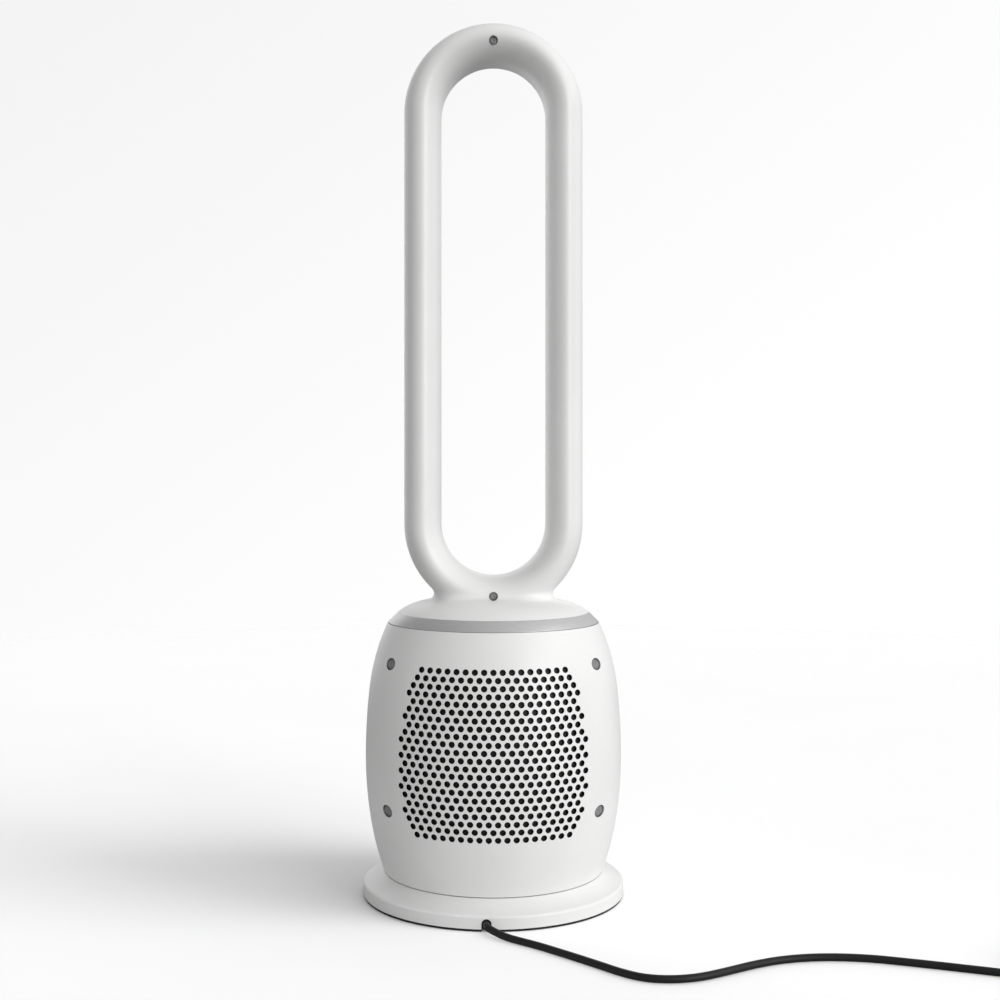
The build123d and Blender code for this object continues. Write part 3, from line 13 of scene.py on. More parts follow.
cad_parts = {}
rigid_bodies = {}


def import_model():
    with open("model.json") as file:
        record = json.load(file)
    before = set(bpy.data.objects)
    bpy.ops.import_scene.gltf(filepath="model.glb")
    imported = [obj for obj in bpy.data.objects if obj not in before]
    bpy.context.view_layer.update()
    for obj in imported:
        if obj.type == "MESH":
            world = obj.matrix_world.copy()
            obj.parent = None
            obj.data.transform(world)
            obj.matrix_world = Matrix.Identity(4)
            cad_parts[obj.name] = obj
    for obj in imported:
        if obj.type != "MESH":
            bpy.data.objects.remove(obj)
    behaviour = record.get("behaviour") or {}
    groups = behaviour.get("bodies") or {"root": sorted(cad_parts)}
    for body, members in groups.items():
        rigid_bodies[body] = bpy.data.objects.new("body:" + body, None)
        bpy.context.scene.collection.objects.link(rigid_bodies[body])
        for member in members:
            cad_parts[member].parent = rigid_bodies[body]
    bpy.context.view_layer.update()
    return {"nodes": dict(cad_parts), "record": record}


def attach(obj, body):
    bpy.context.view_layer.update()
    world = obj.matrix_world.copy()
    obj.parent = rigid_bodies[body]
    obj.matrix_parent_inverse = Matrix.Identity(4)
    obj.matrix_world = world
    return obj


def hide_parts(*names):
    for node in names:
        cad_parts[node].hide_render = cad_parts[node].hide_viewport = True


bl_info = {
    "name": "Bladeless Tower Fan",
    "version": (1, 0, 0),
    "blender": (4, 5, 0),
    "location": "View3D > Sidebar > Tower Fan",
    "description": "Builds a bladeless tower fan piece by piece over its packed frame",
    "category": "Add Mesh",
}

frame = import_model()
MM = 0.001
TAU = 2 * math.pi


# ---------------------------------------------------------------- meshes


def add_piece(name, points, faces, body, finish, nodes=(), sharp=38, normals=None):
    """Mesh object from points in millimetres, on its body, smooth but for edges over the sharp angle."""
    mesh = bpy.data.meshes.new(name)
    mesh.from_pydata((np.asarray(points, float) * MM).tolist(), [], faces)
    mesh.validate()
    mesh.update()
    return dress(bpy.data.objects.new(name, mesh), body, finish, nodes, sharp, normals)


def dress(piece, body, finish, nodes=(), sharp=38, normals=None):
    """Shade, finish, ride and link one piece."""
    mesh = piece.data
    bpy.context.scene.collection.objects.link(piece)
    if piece.type == "MESH":
        mesh.polygons.foreach_set("use_smooth", np.ones(len(mesh.polygons), bool))
        if normals is not None:
            mesh.normals_split_custom_set_from_vertices(normals)
        elif sharp:
            mesh.set_sharp_from_angle(angle=math.radians(sharp))
    mesh.materials.append(finish)
    if nodes:
        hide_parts(*nodes)
    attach(piece, body)
    return piece


def grid_faces(rows, columns, wrap_rows=False, wrap_columns=False, start=0):
    """Quads of a grid of points numbered row by row; a wrapped side joins its last line to its first."""
    row = np.arange(rows if wrap_rows else rows - 1)[:, None]
    column = np.arange(columns if wrap_columns else columns - 1)[None, :]
    right, below = (column + 1) % columns, (row + 1) % rows
    quads = np.stack(
        [row * columns + column, row * columns + right, below * columns + right, below * columns + column], -1
    )
    return (quads.reshape(-1, 4) + start).tolist()


def unit(vectors):
    """Each vector divided by its length."""
    return vectors / np.linalg.norm(vectors, axis=1)[:, None]


def rounded(corners, radii, steps=5):
    """Closed outline whose corners are arcs about centre = corner + bisector * r / sin(half the corner)."""
    corners = np.asarray(corners, float)
    radii = np.maximum(np.broadcast_to(np.asarray(radii, float), len(corners)), 1e-3)[:, None]
    to_last = unit(np.roll(corners, 1, 0) - corners)
    to_next = unit(np.roll(corners, -1, 0) - corners)
    half = np.arccos(np.clip((to_last * to_next).sum(1), -1, 1))[:, None] / 2
    bisector = to_last + to_next
    bisector /= np.maximum(np.linalg.norm(bisector, axis=1)[:, None], 1e-9)
    centre = corners + bisector * radii / np.sin(half)
    first = corners + to_last * radii / np.tan(half) - centre
    last = corners + to_next * radii / np.tan(half) - centre
    turn = (math.pi - 2 * half)[:, :, None]
    share = np.linspace(0, 1, steps + 1)[None, :, None]
    arcs = (np.sin((1 - share) * turn) * first[:, None] + np.sin(share * turn) * last[:, None]) / np.sin(turn)
    return (centre[:, None] + arcs).reshape(-1, 2)


def turned(outline, count=192, notch=0.0, bearing=0.0):
    """Closed outline of (radius, height) carried round Z: x = r sin a, y = r cos a, z = height. With a notch
    it stops at both sides of a parallel gap that wide, at a = bearing +- asin(notch / 2r), closed there."""
    radius, height = outline[:, :1], outline[:, 1:]
    side = np.arcsin(notch / 2 / radius)
    share = np.linspace(0, 1, count, endpoint=bool(notch))
    angle = bearing + side + (TAU - 2 * side) * share
    points = np.stack(
        [radius * np.sin(angle), radius * np.cos(angle), np.broadcast_to(height, angle.shape)], -1
    ).reshape(-1, 3)
    faces = grid_faces(len(outline), count, True, not notch)
    if notch:
        first = np.arange(len(outline)) * count
        faces += [first.tolist(), (first + count - 1)[::-1].tolist()]
    return points, faces


def lofted(rings):
    """Closed skin over rings of points, each end closed by triangles to its ring's middle."""
    rings = np.asarray(rings, float)
    rows, count = rings.shape[:2]
    points = np.concatenate([rings.reshape(-1, 3), rings[:1].mean(1), rings[-1:].mean(1)])
    around = np.arange(count)
    following, last = (around + 1) % count, (rows - 1) * count
    near = np.column_stack([following, around, np.full(count, rows * count)])
    far = np.column_stack([around + last, following + last, np.full(count, rows * count + 1)])
    return points, grid_faces(rows, count, False, True) + near.tolist() + far.tolist()


def oval_button(middle, across, along, normal, half_axes, profile, count=48):
    """Rings of an oval button: middle + across * a * cos t + along * b * sin t + normal * depth for each
    (share, inset, depth) of the profile, where a and b are its half axes less the inset, times the share."""
    share, inset, depth = np.asarray(profile, float).T[:, :, None, None]
    t = np.linspace(0, TAU, count, endpoint=False)[None, :, None]
    a = (half_axes[0] - inset) * share
    b = (half_axes[1] - inset) * share
    return middle + a * np.cos(t) * across + b * np.sin(t) * along + depth * normal


def joined(shapes):
    """One list of points and faces from several."""
    points, faces, start = [], [], 0
    for more, polygons in shapes:
        points.append(more)
        faces += [[corner + start for corner in polygon] for polygon in polygons]
        start += len(more)
    return np.concatenate(points), faces


def outward(piece):
    """Turn a mesh's faces outwards after merging its doubles."""
    shape = bmesh.new()
    shape.from_mesh(piece.data)
    bmesh.ops.remove_doubles(shape, verts=shape.verts, dist=1e-6)
    bmesh.ops.recalc_face_normals(shape, faces=shape.faces)
    shape.to_mesh(piece.data)
    shape.free()
    return piece


# ---------------------------------------------------------------- finishes


def new_finish(name, colour, roughness, metallic=0.0, specular=0.5):
    """Empty finish with its shader's fixed values set; gives its node tree, shader and Object coordinates."""
    finish = bpy.data.materials.new(name)
    finish.use_nodes = True
    tree = finish.node_tree
    shader = tree.nodes["Principled BSDF"]
    shader.inputs["Base Color"].default_value = (*colour, 1)
    shader.inputs["Roughness"].default_value = roughness
    shader.inputs["Metallic"].default_value = metallic
    shader.inputs["Specular IOR Level"].default_value = specular
    place = tree.nodes.new("ShaderNodeTexCoord")
    return finish, tree, shader, place.outputs["Object"]


def noise(tree, place, size_mm, detail=2.0, stretch=None):
    """Noise whose features are about size_mm across, drawn out by a stretch of its coordinates."""
    if stretch:
        mapping = tree.nodes.new("ShaderNodeMapping")
        mapping.inputs["Scale"].default_value = stretch
        tree.links.new(place, mapping.inputs["Vector"])
        place = mapping.outputs["Vector"]
    node = tree.nodes.new("ShaderNodeTexNoise")
    node.inputs["Scale"].default_value = 1000 / size_mm
    node.inputs["Detail"].default_value = detail
    tree.links.new(place, node.inputs["Vector"])
    return node.outputs["Fac"]


def spread(tree, value, low, high, socket):
    """Carry a noise of about 0.3 to 0.7 onto a socket as low to high."""
    node = tree.nodes.new("ShaderNodeMapRange")
    node.inputs["From Min"].default_value = 0.3
    node.inputs["From Max"].default_value = 0.7
    node.inputs["To Min"].default_value = low
    node.inputs["To Max"].default_value = high
    tree.links.new(value, node.inputs["Value"])
    tree.links.new(node.outputs["Result"], socket)


def tint(tree, value, colour, darker, lighter, socket):
    """Colour by a noise of about 0.3 to 0.7, from darker to lighter times the colour."""
    dark, light = ([min(part * factor, 1) for part in colour] for factor in (darker, lighter))
    ramp = tree.nodes.new("ShaderNodeValToRGB")
    ramp.color_ramp.elements[0].position, ramp.color_ramp.elements[1].position = 0.32, 0.68
    ramp.color_ramp.elements[0].color, ramp.color_ramp.elements[1].color = (*dark, 1), (*light, 1)
    tree.links.new(value, ramp.inputs["Fac"])
    tree.links.new(ramp.outputs["Color"], socket)


def bump(tree, height, depth_mm, shader, under=None):
    """Raise the surface by depth_mm where the height is 1."""
    node = tree.nodes.new("ShaderNodeBump")
    node.inputs["Distance"].default_value = depth_mm * MM
    tree.links.new(height, node.inputs["Height"])
    if under:
        tree.links.new(under, node.inputs["Normal"])
    tree.links.new(node.outputs["Normal"], shader.inputs["Normal"])
    return node.outputs["Normal"]


def moulded(name, colour, roughness, grain=0.35, depth=0.006, mottle=0.015, waviness=0.0, specular=0.5):
    """Moulded plastic: fine tool grain, slow flow waves, and a little drift in tone and gloss."""
    finish, tree, shader, place = new_finish(name, colour, roughness, specular=specular)
    tone = noise(tree, place, 60, 3)
    tint(tree, tone, colour, 1 - mottle, 1 + mottle, shader.inputs["Base Color"])
    spread(tree, noise(tree, place, 22, 4), roughness - 0.035, roughness + 0.035, shader.inputs["Roughness"])
    skin = bump(tree, noise(tree, place, grain, 2), depth, shader)
    if waviness:
        bump(tree, noise(tree, place, 45, 1), waviness, shader, skin)
    return finish


def metal(name, colour, roughness, stretch=None, grain=0.4, depth=0.004, metallic=1.0):
    """Metal with a drawn, brushed or cast skin."""
    finish, tree, shader, place = new_finish(name, colour, roughness, metallic)
    skin = noise(tree, place, grain, 3, stretch)
    tint(tree, skin, colour, 0.9, 1.06, shader.inputs["Base Color"])
    spread(tree, noise(tree, place, 9, 3), roughness - 0.06, roughness + 0.08, shader.inputs["Roughness"])
    bump(tree, skin, depth, shader)
    return finish


def rubbery(name, colour, roughness, grain=0.25, depth=0.01):
    """Rubber or soft vinyl: fine grain under a dull bloom."""
    finish, tree, shader, place = new_finish(name, colour, roughness, specular=0.28)
    tint(tree, noise(tree, place, 14, 4), colour, 0.8, 1.25, shader.inputs["Base Color"])
    spread(tree, noise(tree, place, 6, 4), roughness - 0.06, roughness + 0.06, shader.inputs["Roughness"])
    bump(tree, noise(tree, place, grain, 2), depth, shader)
    return finish


finishes = {}


def finish_of(slot):
    """Each record slot's finish, made once."""
    if not finishes:
        colours = bpy.context.scene.fan_finish
        white = tuple(colours.shell)
        finishes.update(
            shell_white=moulded("Satin white ABS", white, 0.40, waviness=0.02),
            base_white=moulded("Satin white base", white, 0.40, waviness=0.02),
            trim_grey=brushed_trim(tuple(colours.trim)),
            plug_grey=moulded("Grey plug", tuple(colours.plug), 0.55, grain=0.2, depth=0.008),
            dark_plastic=moulded("Black nylon", (0.007, 0.007, 0.008), 0.55, mottle=0.1, specular=0.25),
            lens_black=moulded("Smoked lens", (0.006, 0.006, 0.007), 0.08, depth=0.0005, mottle=0.1),
            key_white=moulded("White keycap", tuple(c * 0.97 for c in white), 0.33, depth=0.003),
            frame_plastic=moulded("Natural chassis plastic", (0.46, 0.45, 0.42), 0.55, depth=0.012,
                                  mottle=0.05),
            gear_plastic=moulded("Acetal", (0.74, 0.72, 0.65), 0.35, depth=0.003),
            fan_plastic=moulded("Glass-filled impeller", (0.055, 0.055, 0.06), 0.42, mottle=0.12),
            steel=metal("Zinc plated steel", (0.62, 0.62, 0.60), 0.32),
            ballast=metal("Painted cast iron", (0.07, 0.07, 0.075), 0.55, grain=1.4, depth=0.06,
                          metallic=0.3),
            rubber=rubbery("Foot rubber", (0.018, 0.018, 0.018), 0.75),
            cord=rubbery("Vinyl lead sheath", (0.007, 0.007, 0.007), 0.5),
            board_green=moulded("Board lacquer", (0.015, 0.10, 0.04), 0.22, grain=3.0, depth=0.02,
                                mottle=0.25),
            brass=metal("Plated brass", (0.72, 0.55, 0.27), 0.22, stretch=(1, 1, 0.05)),
        )
    return finishes[slot]


def brushed_trim(colour):
    """Satin metallic-look band: streaks that run round the ring, by the bearing and the height."""
    finish, tree, shader, place = new_finish("Brushed silver trim", colour, 0.42, 0.55)
    split = tree.nodes.new("ShaderNodeSeparateXYZ")
    tree.links.new(place, split.inputs["Vector"])
    bearing = tree.nodes.new("ShaderNodeMath")
    bearing.operation = "ARCTAN2"
    tree.links.new(split.outputs["X"], bearing.inputs[0])
    tree.links.new(split.outputs["Y"], bearing.inputs[1])
    around = tree.nodes.new("ShaderNodeCombineXYZ")
    tree.links.new(bearing.outputs["Value"], around.inputs["X"])
    tree.links.new(split.outputs["Z"], around.inputs["Y"])
    streak = noise(tree, around.outputs["Vector"], 1000, 3, (9.0, 4500.0, 1.0))
    tint(tree, streak, colour, 0.9, 1.08, shader.inputs["Base Color"])
    spread(tree, streak, 0.30, 0.40, shader.inputs["Roughness"])
    bump(tree, streak, 0.004, shader)
    return finish


# ---------------------------------------------------------------- settings


class StageSettings(bpy.types.PropertyGroup):
    """Studio values."""

    camera_distance: FloatProperty(name="Camera distance", description="Camera to the fan's axis",
                                   default=1.322, unit="LENGTH")
    camera_height: FloatProperty(name="Camera height", description="Camera above the floor", default=0.389,
                                 unit="LENGTH")
    lens: FloatProperty(name="Lens", description="Focal length in millimetres", default=51.3)
    key: FloatProperty(name="Key light", description="Strength of the low soft light right of the camera",
                       default=1.62)
    side: FloatProperty(name="Side light", description="Strength of the high light at the right",
                        default=0.50)
    right_rim: FloatProperty(name="Right rim light", description="Strength of the light behind the right",
                             default=0.12)
    left_rim: FloatProperty(name="Left rim light", description="Strength of the low light at the left",
                            default=0.312)
    far: FloatProperty(name="Far light", description="Strength of the light on the fan's other side",
                       default=0.45)
    sweep: FloatProperty(name="Floor light", description="Strength of the light that only the floor receives",
                         default=1.7)
    above: FloatProperty(name="Room above", description="Strength of the room over the horizon", default=0.60)
    below: FloatProperty(name="Room below", description="Strength of the room under the horizon",
                         default=0.20)
    lean: FloatProperty(name="Room lean", description="Lightens the room's upper right over its upper left",
                        default=0.6)
    backdrop: FloatProperty(name="Backdrop", description="Brightness behind the fan", default=0.985)


class FanFinish(bpy.types.PropertyGroup):
    """Colours of the outside."""

    shell: FloatVectorProperty(name="Shell", description="White of the shells", subtype="COLOR", size=3,
                               default=(0.77, 0.77, 0.765), min=0, max=1)
    trim: FloatVectorProperty(name="Trim ring", description="Grey of the band under the dome",
                              subtype="COLOR", size=3, default=(0.54, 0.54, 0.54), min=0, max=1)
    plug: FloatVectorProperty(name="Screw plugs", description="Grey of the screw plugs", subtype="COLOR",
                              size=3, default=(0.20, 0.20, 0.20), min=0, max=1)


class FanSizes(bpy.types.PropertyGroup):
    """Sizes of the outside that can be changed."""

    hole_radius: FloatProperty(name="Intake hole radius", description="Radius of each intake hole",
                               default=0.00276, unit="LENGTH")
    hole_rim: FloatProperty(name="Hole rim", description="Rounding of each intake hole's rim", default=0.0002,
                            unit="LENGTH")
    lead_diameter: FloatProperty(name="Lead diameter", description="Diameter of the mains lead",
                                 default=0.0062, unit="LENGTH")


# ---------------------------------------------------------------- stage

LENS_SHIFT = (0.0066, -0.0288)
# Each far light's strength setting, then its breadth, bearing and rise in degrees. A bearing runs from the
# camera's side towards its right.
LAMPS = {
    "key light": ("key", 36, 45, 12),
    "side light": ("side", 36, 80, 34),
    "right rim": ("right_rim", 36, 115, 12),
    "left rim": ("left_rim", 36, -70, 3),
    "far light": ("far", 50, 195, 10),
    "floor light": ("sweep", 34, 75, 24),
}
# The lead's coil lies just outside the picture, so in these lights the lead and its plug throw no shadow.
LIGHTS_PAST_LEAD = ("key light", "side light", "floor light")
LEAD_PIECES = ("mains_lead", "mains_cord", "cord_coil", "cord_tie", "plug_lead", "mains_plug", "plug",
               "plug_pins")
FLOOR_START, FLOOR_REACH, FLOOR_RINGS, FLOOR_SIDES = 60, 4200, 28, 96


class FAN_OT_camera(bpy.types.Operator):
    """Put the camera where the fan is looked at from: level, behind it"""

    bl_idname = "tower_fan.camera"
    bl_label = "Camera"

    def execute(self, context):
        stage = context.scene.fan_stage
        lens = bpy.data.cameras.new("camera")
        lens.lens, lens.sensor_width = stage.lens, 36.0
        lens.shift_x, lens.shift_y = LENS_SHIFT
        camera = bpy.data.objects.new("camera", lens)
        camera.location = (0, stage.camera_distance, stage.camera_height)
        camera.rotation_euler = (math.pi / 2, 0, math.pi)
        context.scene.collection.objects.link(camera)
        context.scene.camera = camera
        context.scene.view_settings.view_transform = "Standard"
        return {"FINISHED"}


class FAN_OT_stage(bpy.types.Operator):
    """Lay the pale floor and light the studio, most of it from the camera's right"""

    bl_idname = "tower_fan.stage"
    bl_label = "Studio"

    def execute(self, context):
        stage = context.scene.fan_stage
        floor = self.floor()
        self.surroundings(context.scene, stage)
        lamps = {name: self.lamp(context, name, getattr(stage, setting), *aim)
                 for name, (setting, *aim) in LAMPS.items()}
        receivers = bpy.data.collections.new("lit by the floor light")
        receivers.objects.link(floor)
        lamps["floor light"].light_linking.receiver_collection = receivers
        casters = bpy.data.collections.new("shade the floor")
        for piece in context.scene.objects:
            if piece.type == "MESH" and piece.name not in LEAD_PIECES:
                casters.objects.link(piece)
        for name in LIGHTS_PAST_LEAD:
            lamps[name].light_linking.blocker_collection = casters
        return {"FINISHED"}

    def lamp(self, context, name, strength, breadth, bearing, rise):
        """Far, broad light that comes from a bearing and a rise over the floor."""
        turn, lift = math.radians(bearing), math.radians(rise)
        source = (-math.sin(turn) * math.cos(lift), math.cos(turn) * math.cos(lift), math.sin(lift))
        light = bpy.data.lights.new(name, "SUN")
        light.energy, light.angle = strength, math.radians(breadth)
        lamp = bpy.data.objects.new(name, light)
        lamp.location = Vector(source) * 3
        lamp.rotation_euler = Vector(source).to_track_quat("Z", "Y").to_euler()
        context.scene.collection.objects.link(lamp)
        return lamp

    def floor(self):
        """Disc of rings; its surface turns clear towards its edge, so no horizon shows."""
        radii = np.concatenate([[0.0], np.geomspace(FLOOR_START, FLOOR_REACH, FLOOR_RINGS)])[:, None]
        angle = np.linspace(0, TAU, FLOOR_SIDES, endpoint=False)[None]
        points = np.stack([radii * np.sin(angle), radii * np.cos(angle), 0 * radii * angle], -1) * MM
        mesh = bpy.data.meshes.new("floor")
        faces = grid_faces(FLOOR_RINGS + 1, FLOOR_SIDES, False, True)
        mesh.from_pydata(points.reshape(-1, 3).tolist(), [], faces)
        floor = outward(bpy.data.objects.new("floor", mesh))
        if mesh.polygons[0].normal.z < 0:
            mesh.flip_normals()
        bpy.context.scene.collection.objects.link(floor)
        pale = (0.93, 0.93, 0.93)
        finish, tree, shader, place = new_finish("Studio floor", pale, 0.95, specular=0.05)
        tint(tree, noise(tree, place, 300, 2), pale, 0.9946, 1.0054, shader.inputs["Base Color"])
        ball = tree.nodes.new("ShaderNodeTexGradient")
        ball.gradient_type = "SPHERICAL"
        shrink = tree.nodes.new("ShaderNodeMapping")
        shrink.inputs["Scale"].default_value = (0.30, 0.30, 0.30)
        tree.links.new(place, shrink.inputs["Vector"])
        tree.links.new(shrink.outputs["Vector"], ball.inputs["Vector"])
        fade = tree.nodes.new("ShaderNodeMapRange")
        fade.interpolation_type = "SMOOTHERSTEP"
        fade.inputs["From Min"].default_value, fade.inputs["From Max"].default_value = 0.05, 0.80
        tree.links.new(ball.outputs["Fac"], fade.inputs["Value"])
        ray = tree.nodes.new("ShaderNodeLightPath")
        clear = tree.nodes.new("ShaderNodeBsdfTransparent")
        dim = tree.nodes.new("ShaderNodeBsdfDiffuse")
        near = tree.nodes.new("ShaderNodeMapRange")
        near.inputs["From Min"].default_value, near.inputs["From Max"].default_value = 0.78, 0.92
        near.inputs["To Min"].default_value, near.inputs["To Max"].default_value = 0.14, 0.52
        tree.links.new(ball.outputs["Fac"], near.inputs["Value"])
        tree.links.new(near.outputs["Result"], dim.inputs["Color"])
        seen = tree.nodes.new("ShaderNodeMixShader")
        tree.links.new(ray.outputs["Is Camera Ray"], seen.inputs[0])
        tree.links.new(dim.outputs[0], seen.inputs[1])
        tree.links.new(shader.outputs[0], seen.inputs[2])
        edge = tree.nodes.new("ShaderNodeMixShader")
        tree.links.new(fade.outputs["Result"], edge.inputs[0])
        tree.links.new(clear.outputs[0], edge.inputs[1])
        tree.links.new(seen.outputs[0], edge.inputs[2])
        tree.links.new(edge.outputs[0], tree.nodes["Material Output"].inputs["Surface"])
        mesh.materials.append(finish)
        return floor

    def surroundings(self, scene, stage):
        """World: a pale backdrop to the camera; to the surfaces a dimmer room, lighter above the horizon by a
        ramp on z and towards its upper right by -lean * x * z."""
        world = bpy.data.worlds.new("studio")
        world.use_nodes = True
        scene.world = world
        tree = world.node_tree
        room = tree.nodes["Background"]
        way = tree.nodes.new("ShaderNodeTexCoord")
        split = tree.nodes.new("ShaderNodeSeparateXYZ")
        tree.links.new(way.outputs["Generated"], split.inputs["Vector"])
        level = tree.nodes.new("ShaderNodeMapRange")
        level.inputs["From Min"].default_value, level.inputs["From Max"].default_value = -0.15, 0.15
        level.inputs["To Min"].default_value, level.inputs["To Max"].default_value = stage.below, stage.above
        tree.links.new(split.outputs["Z"], level.inputs["Value"])
        lean = tree.nodes.new("ShaderNodeMath")
        lean.operation = "MULTIPLY"
        tree.links.new(split.outputs["X"], lean.inputs[0])
        tree.links.new(split.outputs["Z"], lean.inputs[1])
        leaning = tree.nodes.new("ShaderNodeMath")
        leaning.operation = "MULTIPLY_ADD"
        leaning.inputs[1].default_value = -stage.lean
        tree.links.new(lean.outputs[0], leaning.inputs[0])
        tree.links.new(level.outputs["Result"], leaning.inputs[2])
        tree.links.new(leaning.outputs[0], room.inputs["Color"])
        room.inputs["Strength"].default_value = 1.0
        back = tree.nodes.new("ShaderNodeBackground")
        ray = tree.nodes.new("ShaderNodeLightPath")
        mix = tree.nodes.new("ShaderNodeMixShader")
        tree.links.new(ray.outputs["Is Camera Ray"], mix.inputs[0])
        tree.links.new(room.outputs[0], mix.inputs[1])
        tree.links.new(back.outputs[0], mix.inputs[2])
        slope = tree.nodes.new("ShaderNodeVectorMath")
        slope.operation = "DOT_PRODUCT"
        slope.inputs[1].default_value = (-0.12, 0.0, -0.16)
        tree.links.new(way.outputs["Generated"], slope.inputs[0])
        shade = tree.nodes.new("ShaderNodeMapRange")
        shade.inputs["From Min"].default_value, shade.inputs["From Max"].default_value = -0.1, 0.015
        shade.inputs["To Min"].default_value = stage.backdrop - 0.1
        shade.inputs["To Max"].default_value = stage.backdrop + 0.015
        tree.links.new(slope.outputs["Value"], shade.inputs["Value"])
        tree.links.new(shade.outputs["Result"], back.inputs["Color"])
        back.inputs["Strength"].default_value = 1.0
        tree.links.new(mix.outputs[0], tree.nodes["World Output"].inputs["Surface"])


# ---------------------------------------------------------------- mains lead

LEAD_ROUTE = [
    (5.89, 120.36, 6.8), (6.20, 126.85, 6.8), (-0.4, 133.8, 5.2), (-9.5, 142.6, 3.6), (-20.5, 151.0, 3.15),
    (-34.5, 161.6, 3.15), (-57.5, 183.5, 3.15), (-81.0, 207.0, 3.15), (-99.5, 226.5, 3.15),
    (-116.0, 238.0, 3.15), (-137.0, 240.6, 3.15), (-158.5, 235.5, 3.15), (-181.5, 222.0, 3.15),
    (-205.5, 206.6, 3.15), (-231.0, 195.0, 3.15), (-263.0, 189.6, 3.15), (-297.5, 193.0, 3.15),
    (-326.0, 202.2, 3.15), (-350.0, 210.6, 3.15), (-374.0, 219.4, 3.15),
]
COIL_MIDDLE = np.array([-463.22, 205.93])
COIL_AXES = np.array([[0.38268, 0.92388], [-0.92388, 0.38268]])
COIL_RADII = [45, 41, 37, 33, 29, 25, 25, 29, 33, 37, 41, 45, 49]
COIL_LOW, COIL_HIGH, COIL_SWELL, COIL_CHANGE = 3.8, 10.7, 1.012, 5
COIL_APPROACH = [(45.9, -60.2, 3.15), (45, -42.2, 3.15), (45, -24.2, 3.8), (45, -6.2, 3.8)]
PLUG_RUN = [(49, 6.2, 10.7), (49, 18.2, 10.7), (49, 34.2, 6.85), (49, 46.2, 6.85)]


def beside_fan(points):
    """Points of the coil's own plane laid on the floor: middle + x * first axis + y * second."""
    points = np.asarray(points, float).reshape(-1, 3)
    return np.column_stack([COIL_MIDDLE + points[:, :2] @ COIL_AXES, points[:, 2]])


def coil_turns():
    """Points of the coil's half turns, each a half circle between two radii, inwards below, outwards above;
    the points of such a circle swell a little, because the curve runs inside them."""
    turns = []
    for step, (near, far) in enumerate(zip(COIL_RADII, COIL_RADII[1:])):
        side = 1 if step % 2 == 0 else -1
        middle, reach = side * (near - far) / 2, side * (near + far) / 2 * COIL_SWELL
        angle = np.linspace(0, math.pi, 9)[:-1] + math.pi / 16
        rise = np.clip((np.arange(8) - 0.5) / 6, 0, 1) if step == COIL_CHANGE else float(step > COIL_CHANGE)
        height = COIL_LOW + (COIL_HIGH - COIL_LOW) * rise + 0 * angle
        turns.append(np.column_stack([middle + reach * np.cos(angle), reach * np.sin(angle), height]))
    return np.concatenate(turns)


class FAN_OT_mains_lead(bpy.types.Operator):
    """Run the mains lead from the notch across the floor to its coil and plug"""

    bl_idname = "tower_fan.mains_lead"
    bl_label = "Mains lead"

    def execute(self, context):
        sizes = context.scene.fan_sizes
        points = np.concatenate([np.array(LEAD_ROUTE), beside_fan(COIL_APPROACH), beside_fan(coil_turns()),
                                 beside_fan(PLUG_RUN)]) * MM
        curve = bpy.data.curves.new("mains_lead", "CURVE")
        curve.dimensions = "3D"
        curve.bevel_depth, curve.bevel_resolution, curve.resolution_u = sizes.lead_diameter / 2, 5, 6
        curve.use_fill_caps = True
        spline = curve.splines.new("NURBS")
        spline.points.add(len(points) - 1)
        spline.points.foreach_set("co", np.column_stack([points, np.ones(len(points))]).ravel())
        spline.order_u, spline.use_endpoint_u = 3, True
        lead = bpy.data.objects.new("mains_lead", curve)
        dress(lead, "base", finish_of("cord"), ["mains_cord", "cord_coil", "plug_lead"])
        return {"FINISHED"}


# ---------------------------------------------------------------- barrel

BARREL_FOOT, BARREL_HEAD, BELLY_HEIGHT, BELLY = 23.5, 249.9, 128.0, 117.9
WALL = 2.6
STRAIGHT_ENDS, STRAIGHT_FADE, STEEPEST = math.radians(50), math.radians(5.5), 0.78
BORDER_FADE = 20
SKIN_COLUMNS, SKIN_ROWS, SKIN_MARGIN = 82, 50, 4


def barrel(height):
    """Radius and lean of the barrel at heights: two tangent arcs above the belly (560 mm, then 190 mm past
    62 mm) and two below (360 mm, then 270 mm past 58 mm); each takes bend * (change of cos lean) off the
    belly's radius."""
    rise = np.asarray(height, float) - BELLY_HEIGHT
    up = rise >= 0
    near, far, span = np.where(up, 560.0, 360.0), np.where(up, 190.0, 270.0), np.where(up, 62.0, 58.0)
    first = np.arcsin(np.minimum(np.abs(rise), span) / near)
    last = np.arcsin(np.maximum(np.abs(rise) - span, 0) / far + np.sin(first))
    last = np.where(np.abs(rise) > span, last, first)
    radius = BELLY - near * (1 - np.cos(first)) - far * (np.cos(first) - np.cos(last))
    return radius, np.copysign(last, rise)


def on_barrel(flat, depth, turn):
    """Points and normals on the barrel, depth below its skin; flat is (belly radius * bearing from turn,
    height)."""
    radius, lean = barrel(flat[:, 1])
    bearing = turn + flat[:, 0] / BELLY
    out = np.stack([np.cos(lean) * np.sin(bearing), np.cos(lean) * np.cos(bearing), np.sin(lean)], 1)
    skin = np.stack([radius * np.sin(bearing), radius * np.cos(bearing), flat[:, 1]], 1)
    return skin - np.asarray(depth)[..., None] * out, out


